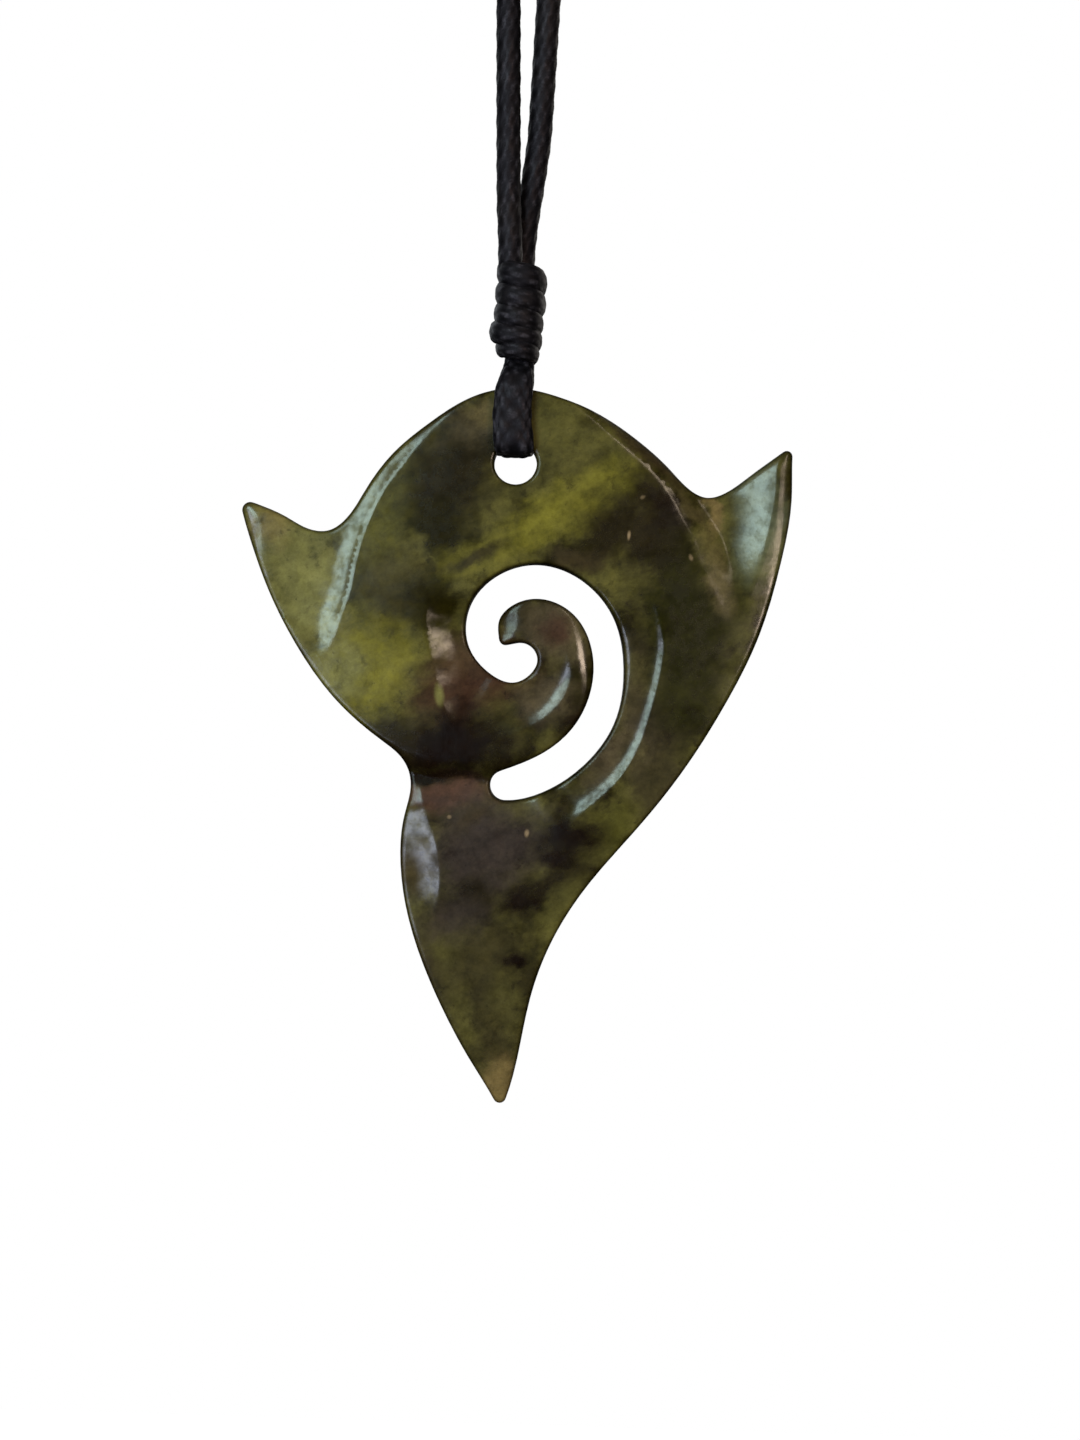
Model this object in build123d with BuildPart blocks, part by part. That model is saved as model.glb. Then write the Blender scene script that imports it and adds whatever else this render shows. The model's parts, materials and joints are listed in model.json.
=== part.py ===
# Carved stone koru pendant on a waxed cord loop, hanging from the top of the loop.
# Millimetres, +Z up, the front of the stone towards -Y. The origin is the underside of the cord at the top of
# the loop, where it hangs over a peg. The middle of the stone's hole is straight below it.

import os
from math import cos, radians, sin, sqrt, tan

from build123d import *

# Driving dimensions: the stone
pendant_width = 44.0
pendant_height = 57.2
pendant_thickness = 6.0
top_edge_thickness = 3.4
wing_step = 0.6
edge_rounding = 0.35
hole_diameter = 3.4
right_tip_radius = 0.45
left_tip_radius = 0.64
tail_tip_radius = 0.52
slot_end_radius = 1.22
curl_bite_radius = 1.38
curl_tip_radius = 0.50

# Driving dimensions: the cord
cord_diameter = 2.0
hole_drop = 310.0
flat_width = 3.3
flat_thickness = 1.1
flat_thickness_at_knot = 1.3
fold_radius = 0.9
hole_clearance = 0.1
face_clearance = 0.15
shoulder_share = 0.25

# Driving dimensions: the whipping knot
knot_height_above_hole = 8.0
coil_count = 5
knot_length = 8.0
coil_overlap = 0.06
coil_rounding = 0.5
knot_width = 4.2
knot_depth = 5.8

# Sides of the stone's outline, seen from the front. Each row is a point: its place right of the hole's middle as
# a share of pendant_width, and its place above it as a share of pendant_height.
over_the_top = [
    (0.426, -0.007),
    (0.386, -0.030),
    (0.348, -0.039),
    (0.318, -0.029),
    (0.280, -0.001),
    (0.221, 0.038),
    (0.151, 0.072),
    (0.077, 0.094),
    (-0.007, 0.105),
    (-0.085, 0.090),
    (-0.158, 0.053),
    (-0.220, 0.011),
    (-0.270, -0.043),
    (-0.307, -0.087),
    (-0.334, -0.101),
    (-0.374, -0.099),
    (-0.412, -0.084),
]
left_flank = [
    (-0.467, -0.136),
    (-0.441, -0.185),
    (-0.388, -0.260),
    (-0.315, -0.334),
    (-0.227, -0.391),
    (-0.187, -0.417),
    (-0.172, -0.448),
    (-0.182, -0.496),
    (-0.187, -0.544),
    (-0.176, -0.614),
    (-0.140, -0.700),
    (-0.095, -0.773),
    (-0.053, -0.829),
]
right_flank = [
    (0.038, -0.820),
    (0.058, -0.738),
    (0.093, -0.662),
    (0.155, -0.583),
    (0.238, -0.505),
    (0.320, -0.421),
    (0.396, -0.322),
    (0.448, -0.235),
    (0.487, -0.125),
    (0.503, -0.038),
]
slot_outer_side = [
    (0.069, -0.457),
    (0.141, -0.418),
    (0.194, -0.358),
    (0.208, -0.280),
    (0.188, -0.212),
    (0.131, -0.161),
    (0.046, -0.139),
    (-0.031, -0.158),
    (-0.075, -0.200),
    (-0.076, -0.255),
    (-0.041, -0.290),
    (0.012, -0.305),
]
slot_inner_side = [
    (-0.021, -0.220),
    (0.001, -0.199),
    (0.051, -0.188),
    (0.113, -0.208),
    (0.152, -0.273),
    (0.146, -0.322),
    (0.118, -0.366),
    (0.066, -0.402),
]

# Round stretches of those outlines: the middle in the same shares, the radius, and the angles at which the
# outline joins and leaves the round stretch, in degrees anticlockwise from the right
right_tip = ((0.492, 0.022), right_tip_radius, -1.0, 127.0)
left_tip = ((-0.478, -0.076), left_tip_radius, 72.0, 196.0)
tail_tip = ((0.006, -0.883), tail_tip_radius, 210.0, 341.0)
slot_end = ((-0.001, -0.449), slot_end_radius, 111.0, 269.0)
curl_bite = ((0.019, -0.273), curl_bite_radius, -29.0, 99.0)
curl_tip = ((-0.009, -0.244), curl_tip_radius, 279.0, 188.0)

# Thickest place of the stone, in the same shares
dome_middle = (-0.057, -0.350)

# Creases where the round body steps down to the wings, in the same shares. A crease starts and ends outside the
# stone, and the space beyond it is closed through the points after it.
left_crease = [(-0.190, 0.070), (-0.263, -0.040), (-0.308, -0.110), (-0.340, -0.190), (-0.400, -0.300)]
left_beyond = [(-0.60, -0.40), (-0.60, 0.20)]
right_crease = [(0.120, 0.130), (0.228, 0.008), (0.313, -0.050), (0.365, -0.130), (0.400, -0.230), (0.470, -0.330)]
right_beyond = [(0.60, -0.30), (0.60, 0.20)]

# Coils of the knot from the bottom up: the shift to the right and the extra width, as shares of knot_width
coil_rows = [(0.03, -0.14), (-0.06, 0.04), (-0.02, -0.01), (0.0, 0.0), (0.02, 0.0)]

# Each arc of the neck cord takes this share of the shorter of its two runs
arc_share = 0.45

# Points of the neck cord, from the knot up its left strand, over the peg and down the right strand
neck_route = [
    (-0.95, -1.0, -294.0),
    (-0.95, -1.0, -292.0),
    (-9.2, 0.0, 1.0),
    (9.2, 0.0, 1.0),
    (1.05, 0.95, -286.5),
    (0.14, 1.0, -292.0),
    (0.14, 1.0, -294.0),
]


def at(share):
    """The place of an outline row, in millimetres from the middle of the hole."""
    return share[0] * pendant_width, share[1] * pendant_height


def round_point(stretch, angle):
    """The point of a round stretch at an angle."""
    x, z = at(stretch[0])
    return x + stretch[1] * cos(radians(angle)), z + stretch[1] * sin(radians(angle))


def round_heading(stretch, angle):
    """The way the outline runs at that point."""
    way = 1 if stretch[3] > stretch[2] else -1
    return -way * sin(radians(angle)), way * cos(radians(angle))


def round_stretch(stretch):
    """Draws a round stretch of an outline."""
    CenterArc(at(stretch[0]), stretch[1], stretch[2], stretch[3] - stretch[2])


def side(before, rows, after):
    """Draws a smooth side of an outline, from one round stretch to the next."""
    points = [round_point(before, before[3]), *[at(row) for row in rows], round_point(after, after[2])]
    headings = (round_heading(before, before[3]), round_heading(after, after[2]))
    Spline(*points, tangents=headings, tangent_scalars=(1.0, 1.0))


# Plane through the middle of the stone, seen from the front
hole_height = -hole_drop
stone_plane = Plane(origin=(0, 0, hole_height), x_dir=(1, 0, 0), z_dir=(0, -1, 0))

# The two domed faces are parts of spheres
top_edge = pendant_height * max(row[1] for row in over_the_top)
dome_x, dome_z = at(dome_middle)
dome_drop = (pendant_thickness - top_edge_thickness) / 2
dome_radius = ((top_edge - dome_z) ** 2 + dome_drop**2) / (2 * dome_drop)
dome_depth = dome_radius - pendant_thickness / 2


def half_thickness(height):
    """Half of the stone's thickness at a height above the middle of the hole."""
    return sqrt(dome_radius**2 - dome_x**2 - (height - dome_z) ** 2) - dome_depth


def wing_space(crease, beyond):
    """The space in front of a wing, down to a face that lies wing_step under the dome."""
    with BuildPart() as space:
        with BuildSketch(stone_plane):
            with BuildLine():
                Spline(*[at(row) for row in crease])
                Polyline(at(crease[-1]), *[at(row) for row in beyond], at(crease[0]))
            make_face()
        extrude(amount=pendant_thickness)
        with Locations((dome_x, dome_depth, hole_height + dome_z)):
            Sphere(dome_radius - wing_step, mode=Mode.SUBTRACT)
    return space.part


left_wing_space = wing_space(left_crease, left_beyond)
right_wing_space = wing_space(right_crease, right_beyond)

# Koru pendant: one carved stone, with the spiral slot and the cord's hole cut right through
with BuildPart() as koru_pendant:
    with BuildSketch(stone_plane):
        with BuildLine():
            round_stretch(right_tip)
            side(right_tip, over_the_top, left_tip)
            round_stretch(left_tip)
            side(left_tip, left_flank, tail_tip)
            round_stretch(tail_tip)
            side(tail_tip, right_flank, right_tip)
        make_face()
        with BuildLine():
            round_stretch(slot_end)
            side(slot_end, slot_outer_side, curl_bite)
            round_stretch(curl_bite)
            side(curl_bite, [], curl_tip)
            round_stretch(curl_tip)
            side(curl_tip, slot_inner_side, slot_end)
        make_face(mode=Mode.SUBTRACT)
        Circle(hole_diameter / 2, mode=Mode.SUBTRACT)
    extrude(amount=pendant_thickness, both=True)
    for way in (-1, 1):
        with Locations((dome_x, way * dome_depth, hole_height + dome_z)):
            Sphere(dome_radius, mode=Mode.INTERSECT)
    domes = koru_pendant.faces().filter_by(GeomType.SPHERE)
    fillet(domes.edges(), edge_rounding)
    add(left_wing_space, mode=Mode.SUBTRACT)
    add(right_wing_space, mode=Mode.SUBTRACT)
koru_pendant.part.label = "koru_pendant"

# Whipping knot: flat turns of cord stacked round the two strands
knot_bottom = hole_height + knot_height_above_hole
coil_pitch = (knot_length - coil_overlap) / coil_count


def knot_coil(number, shift, extra):
    """One turn of the knot, rounded at its rim."""
    with BuildPart() as coil:
        with BuildSketch(Plane.XY.offset(knot_bottom + number * coil_pitch)):
            with Locations((shift * knot_width, 0)):
                SlotOverall(knot_depth + extra * knot_width, (1 + extra) * knot_width, rotation=90)
        extrude(amount=coil_pitch + coil_overlap)
        fillet(coil.faces().filter_by(Axis.Z).edges(), coil_rounding)
    return coil.part


coils = [knot_coil(number, shift, extra) for number, (shift, extra) in enumerate(coil_rows)]
with BuildPart() as whipping_knot:
    for coil in coils:
        add(coil)
whipping_knot.part.label = "whipping_knot"

# Bail cord: the cord flattened against both faces of the stone and through the upper part of its hole
flat_top_radius = hole_diameter / 2 - hole_clearance
flat_bottom = flat_top_radius - flat_thickness
at_hole = half_thickness(0) + face_clearance
at_top_edge = half_thickness(top_edge) + face_clearance
shoulder = top_edge + (knot_height_above_hole - top_edge) * shoulder_share
leg_profile = [
    (face_clearance, knot_height_above_hole),
    (at_top_edge, shoulder),
    (at_hole, flat_bottom),
    (at_hole + flat_thickness, flat_bottom),
    (at_top_edge + flat_thickness, shoulder),
    (face_clearance + flat_thickness_at_knot, knot_height_above_hole),
]
# Seen from the front: the height, and the left and right side as shares of flat_width
leg_rows = [
    (flat_bottom, -0.50, 0.48),
    (top_edge / 2, -0.58, 0.36),
    (shoulder, -0.56, 0.36),
    (knot_height_above_hole, -0.38, 0.39),
]
leg_front = [(left * flat_width, height) for height, left, right in leg_rows]
leg_front += [(right * flat_width, height) for height, left, right in reversed(leg_rows)]
with BuildPart() as bail_cord:
    with BuildSketch(Plane(origin=(0, 0, hole_height), x_dir=(0, 1, 0), z_dir=(1, 0, 0))):
        Polygon(*leg_profile, align=None)
        mirror(about=Plane.YZ)
    extrude(amount=flat_width, both=True)
    with BuildSketch(stone_plane):
        Polygon(*leg_front, align=None)
    extrude(amount=2 * knot_depth, both=True, mode=Mode.INTERSECT)
    folds = bail_cord.faces().sort_by(Axis.Z)[:2].edges().filter_by(Axis.X).sort_by(Axis.Y)
    fillet([folds[0], folds[-1]], fold_radius)
    with BuildSketch(stone_plane):
        Circle(flat_top_radius)
        with Locations((0, flat_bottom)):
            Rectangle(2 * flat_top_radius, 2 * flat_top_radius, align=(Align.CENTER, Align.MAX), mode=Mode.SUBTRACT)
    extrude(amount=at_hole + flat_thickness / 2, both=True)
bail_cord.part.label = "bail_cord"


def arc_radii(route):
    """The radius at each inner point of a cord's route, as large as its two runs allow."""
    radii = []
    for before, here, after in zip(route, route[1:], route[2:]):
        into = Vector(*here) - Vector(*before)
        out = Vector(*after) - Vector(*here)
        turn = into.get_angle(out)
        radii.append(arc_share * min(into.length, out.length) / tan(radians(turn / 2)))
    return radii


# Neck cord: both strands and the bend over the peg
neck_radii = arc_radii(neck_route)
with BuildPart() as neck_cord:
    with BuildLine():
        FilletPolyline(*neck_route, radius=neck_radii)
    with BuildSketch(Plane(origin=neck_route[0])):
        Circle(cord_diameter / 2)
    sweep()
neck_cord.part.label = "neck_cord"

os.makedirs("parts", exist_ok=True)
for piece in (koru_pendant, whipping_knot, bail_cord, neck_cord):
    export_step(piece.part, f"parts/{piece.part.label}.step")
print("neck cord radii", [round(radius, 1) for radius in neck_radii])
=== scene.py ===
# Dresses the koru pendant on its waxed cord: the polished stone, the braided cord, its knot, the studio.
# Everything is in metres, +Z up, the front of the stone towards -Y. The cord hangs from the origin.

import json
import math

import bmesh
import bpy
import numpy as np
from mathutils import Matrix, Vector, geometry, noise


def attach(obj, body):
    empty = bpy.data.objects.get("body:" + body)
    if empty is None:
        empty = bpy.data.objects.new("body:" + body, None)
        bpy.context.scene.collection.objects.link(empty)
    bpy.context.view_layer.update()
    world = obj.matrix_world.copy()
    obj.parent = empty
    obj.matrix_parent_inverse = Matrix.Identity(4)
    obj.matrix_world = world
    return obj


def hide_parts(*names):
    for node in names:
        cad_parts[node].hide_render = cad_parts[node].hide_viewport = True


bl_info = {
    "name": "Koru pendant on a waxed cord",
    "version": (1, 0, 0),
    "blender": (4, 5, 0),
    "location": "3D Viewport > Sidebar > Koru pendant",
    "description": "Builds the looks of a carved stone koru pendant that hangs on a braided cord loop",
    "category": "Add Mesh",
}

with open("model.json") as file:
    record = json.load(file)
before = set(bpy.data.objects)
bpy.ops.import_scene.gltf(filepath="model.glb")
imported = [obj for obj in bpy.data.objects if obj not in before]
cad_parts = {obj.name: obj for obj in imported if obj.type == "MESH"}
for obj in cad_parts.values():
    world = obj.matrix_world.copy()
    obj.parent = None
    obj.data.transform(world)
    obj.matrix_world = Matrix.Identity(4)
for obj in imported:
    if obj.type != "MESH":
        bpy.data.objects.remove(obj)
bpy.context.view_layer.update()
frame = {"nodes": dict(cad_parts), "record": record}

MM = 0.001
HOLE_HEIGHT = frame["record"]["behaviour"]["joints"][0]["pos_m"][2]
STONE_NODE = "koru_pendant"
KNOT_NODE = "whipping_knot"
BAIL_NODE = "bail_cord"
NECK_NODE = "neck_cord"

# The stone's outline is cut this far behind its middle plane, with points this close made one, in metres
CUT_DEPTH = 0.1 * MM
MERGE_DISTANCE = 1e-6

# Both faces of the stone are domed. Places on it are in millimetres, right of its hole and above it.
DOME_MIDDLE = (-2.5, -20.0)
DOME_RADIUS = 261.3
STONE_HALF = 3.0
LEAST_HALF = 0.45

# The noise that makes the faces uneven: its scale, and how far from 0 its layers for front and back are
WAVE_SCALE = 0.16
WAVE_LAYER = 3.0

# The polished edge's width and drop, and where it is broader: the place, how far that reaches, the edge's
# width and its drop. BROAD_FALL is how fast the broader edge fades over its reach.
PLAIN_EDGE = (0.5, 0.03)
BROAD_FALL = 1.5
BROAD_EDGES = [
    ("curl's tip", (-0.7, -12.9), 1.7, 1.9, 0.55),
    ("curl's outer side", (6.2, -15.0), 3.6, 1.3, 0.40),
    ("upper right rim", (10.0, 2.2), 4.5, 1.0, 0.35),
    ("left tip", (-21.3, -5.4), 3.2, 1.0, 0.26),
    ("right tip's outer side", (22.0, -2.0), 5.5, 1.1, 0.25),
]

# Crests from which the face slopes down on one side, steepest at the crest. side is 1 where the lower
# side is on the line's left. width, drop and curve say over what width the slope goes down, how far, and
# how fast it flattens, each at even shares of the line. Over the shares in fades the crest comes and
# goes, between the distances in ends the lower face comes up again, and soft is how rounded the crest is,
# CREST_SOFT where the row has none.
CREST_SOFT = 0.1
CRESTS = [
    {
        "name": "left wing under the body",
        "line": [
            (-3.79, 4.72), (-5.75, 3.22), (-7.69, 1.37), (-9.23, -0.65), (-10.25, -2.1), (-11.09, -3.72),
            (-11.75, -5.35), (-12.24, -6.96), (-12.63, -8.75), (-12.93, -10.54), (-13.5, -12.33),
            (-14.15, -14.49), (-14.83, -15.63), (-15.62, -16.77),
        ],
        "side": -1,
        "width": (1.2, 1.6),
        "drop": (0.24, 0.34),
        "curve": (2.0, 2.0),
        "fades": (0.35, 0.22),
        "ends": (2.0, 9.0),
    },
    {
        "name": "shoulder beside the slot",
        "line": [
            (10.06, -8.78), (11.07, -10.27), (11.75, -11.69), (12.2, -14.0), (12.12, -15.5),
            (11.81, -17.38), (11.36, -19.25), (10.46, -22.27), (9.03, -24.81), (7.17, -26.72),
            (5.42, -28.28), (4.6, -29.04),
        ],
        "side": -1,
        "width": (3.0, 3.0, 3.0),
        "drop": (0.14, 0.22, 0.44),
        "curve": (9.0, 8.0, 2.4),
        "fades": (0.25, 0.10),
        "ends": (3.1, 6.1),
    },
    {
        "name": "hollow round the spiral's eye",
        "line": [
            (-6.6, -10.2), (-6.8, -12.02), (-6.73, -13.84), (-6.17, -16.06), (-5.54, -18.53),
            (-4.54, -20.49), (-2.76, -21.43), (-0.76, -21.62), (1.22, -21.19), (2.93, -20.14),
            (4.13, -18.86), (4.78, -17.47), (4.92, -16.22), (4.5, -14.73), (3.64, -13.46),
        ],
        "side": 1,
        "width": (2.3, 2.3, 2.7, 2.7, 2.7),
        "drop": (0.49, 0.43, 0.29, 0.27, 0.32),
        "curve": (1.0, 1.1, 2.0, 4.6, 6.5),
        "fades": (0.08, 0.24),
    },
    {
        "name": "tail's left side",
        "line": [
            (-6.75, -25.2), (-6.6, -27.0), (-6.05, -28.7), (-5.45, -30.4), (-5.1, -32.2), (-5.05, -34.0),
            (-5.2, -36.0), (-5.3, -38.0),
        ],
        "side": -1,
        "width": (2.5, 2.3, 1.2),
        "drop": (0.34, 0.32, 0.20),
        "curve": (2.2, 2.2, 2.2),
        "fades": (0.12, 0.40),
        "soft": 1.6,
    },
]

# Edges that roll over and down, beyond which the face climbs again or follows a scoop of its own. reach
# is how far before the line they start. One with a lip first falls evenly over the lip's width, by
# lip_fall for each millimetre, and then goes down softly over the soft width. The others go down to a
# crease on the line as a quarter round, of which ROUND_END is used. Where a row has no fade, it ends over
# FADE_BEYOND of its length past its end.
FADE_BEYOND = 0.3
ROUND_END = 0.97
ROLLS = [
    {
        "name": "body over the right wing",
        "line": [
            (5.83, 4.21), (7.47, 2.76), (9.06, 1.48), (10.89, -0.03), (12.49, -1.75), (13.42, -3.29),
            (14.85, -5.91), (16.28, -8.98), (17.25, -11.61), (17.81, -13.51),
        ],
        "side": 1,
        "reach": 0.4,
        "lip": (0.34, 0.5, 0.9),
        "lip_fall": (0.22, 0.22, 0.10),
        "soft": (0.8, 1.4, 2.4),
        "fades": (0.0, 0.35),
        "scoop": {
            "line": [
                (21.17, 2.2), (20.97, 0.94), (20.94, -1.49), (20.57, -4.17), (19.99, -6.86),
                (19.18, -9.31), (18.15, -11.5), (16.95, -13.94),
            ],
            "side": -1,
            "width": (4.4, 2.2),
            "drop": (0.95, 0.45),
            "curve": (1.35, 1.4),
        },
    },
    {
        "name": "body over the tail",
        "line": [
            (-12.5, -23.4), (-10.6, -23.6), (-9.3, -24.0), (-7.9, -24.6), (-6.5, -25.0), (-4.5, -25.16),
            (-2.5, -25.14), (-1.2, -25.06), (-0.2, -24.9), (0.8, -24.7),
        ],
        "side": -1,
        "reach": 1.7,
        "drop": (0.8, 0.8),
        "rise": 0.22,
        "climb": 0.8,
        "fades": (0.0, 0.0),
    },
]

# Points of the faces, in millimetres. Rings are at shares of the front edge's radius inside the outlines,
# and keep a share of that depth from every outline. Rows lie beside the crests, the scoop and the rolls,
# the last at shares of the roll's reach. Rows and grid keep their margins from the last ring, and their
# points keep LEAST_APART from each other.
RING_SHARES = (0.03, 0.13, 0.32, 0.60, 1.0, 1.5, 2.2)
RING_CLEAR = 0.96
CREST_ROWS = (-0.45, -0.2, 0.0, 0.15, 0.35, 0.6, 0.9, 1.25)
SCOOP_ROWS = (-0.45, -0.2, 0.0, 0.2, 0.45, 0.75)
ROLL_ROWS = (0.0, -0.1, -0.25, -0.5, -0.8, -1.1, 0.15, 0.4)
ROW_MARGIN = 0.06
GRID_MARGIN = 0.2
LEAST_APART = 0.09

# Steps in millimetres along a crest's or a roll's line, to measure from it and to set rows of points on it
LINE_STEP = 0.15
ROW_STEP = 0.22

# The least gap in millimetres between an outline's points, and the fewest points it gets
LEAST_GAP = 1e-5
LEAST_LOOP = 12

# How close two points count as one when triangles are made, and how many points are worked on at once
DELAUNAY_ERROR = 1e-6
BATCH = 2000

# Places where the polish is duller: the place, the half sizes, the turn in degrees and how much duller
DULL = [
    ((-5.4, -11.2), (2.4, 1.6), 0, 1.0),
    ((-5.2, -13.0), (2.4, 1.05), 0, 1.0),
    ((-5.2, -16.3), (2.2, 1.1), 0, 1.0),
    ((-4.9, -18.3), (2.2, 1.7), 0, 1.0),
    ((-1.8, -17.8), (1.6, 1.5), 0, 1.0),
    ((-7.2, -33.0), (0.9, 1.5), 8, 0.95),
    ((-7.0, -27.6), (1.3, 0.3), 10, 0.95),
    ((-6.3, -30.2), (0.5, 0.3), 40, 0.7),
    ((-6.2, -32.4), (1.5, 2.6), 12, 0.25),
    ((-6.9, -29.9), (0.5, 0.6), 30, 0.6),
    ((-5.6, -36.1), (1.2, 2.0), 0, 0.9),
    ((-5.7, -28.8), (0.6, 0.8), 20, 0.9),
    ((-5.3, -31.7), (0.5, 0.7), 20, 0.8),
    ((-1.0, -13.2), (1.7, 1.5), 0, 0.8),
    ((1.3, -20.8), (1.0, 0.8), 0, 0.95),
    ((12.0, -12.4), (0.7, 1.4), 0, 0.95),
    ((5.6, -12.5), (1.2, 1.9), 0, 0.95),
    ((5.5, -18.4), (1.2, 1.8), 0, 0.95),
    ((15.6, -6.6), (1.7, 5.6), 22, 0.85),
    ((21.2, -4.0), (0.9, 4.5), 5, 0.5),
]

# How far from the outline the stone's colour is darkened as painted shade and the polish duller, in
# millimetres
RIM_REACH = 0.48

# Colours of the stone
OLIVE_DARK = (0.014, 0.011, 0.001)
OLIVE_SHADE = (0.045, 0.036, 0.013)
OLIVE_DEEP = (0.082, 0.075, 0.012)
OLIVE = (0.100, 0.088, 0.022)
OLIVE_YELLOW = (0.190, 0.180, 0.056)
YELLOW_GREEN = (0.215, 0.192, 0.024)
GREEN_DEEP = (0.014, 0.014, 0.001)
BROWN = (0.016, 0.011, 0.003)
BROWN_WARM = (0.045, 0.031, 0.013)
BROWN_GREY = (0.070, 0.055, 0.028)
BROWN_BLACK = (0.006, 0.002, 0.001)
RED_BROWN = (0.058, 0.025, 0.016)
RED = (0.092, 0.042, 0.028)
GREY_BROWN = (0.088, 0.066, 0.036)
PURPLE_GREY = (0.042, 0.030, 0.025)
TAN = (0.200, 0.140, 0.052)
PAINTED_GLINT_TAN = (0.340, 0.240, 0.140)
PAINTED_REFLECTION_GREEN = (0.120, 0.130, 0.075)
OLIVE_TAN = (0.130, 0.100, 0.040)
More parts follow.
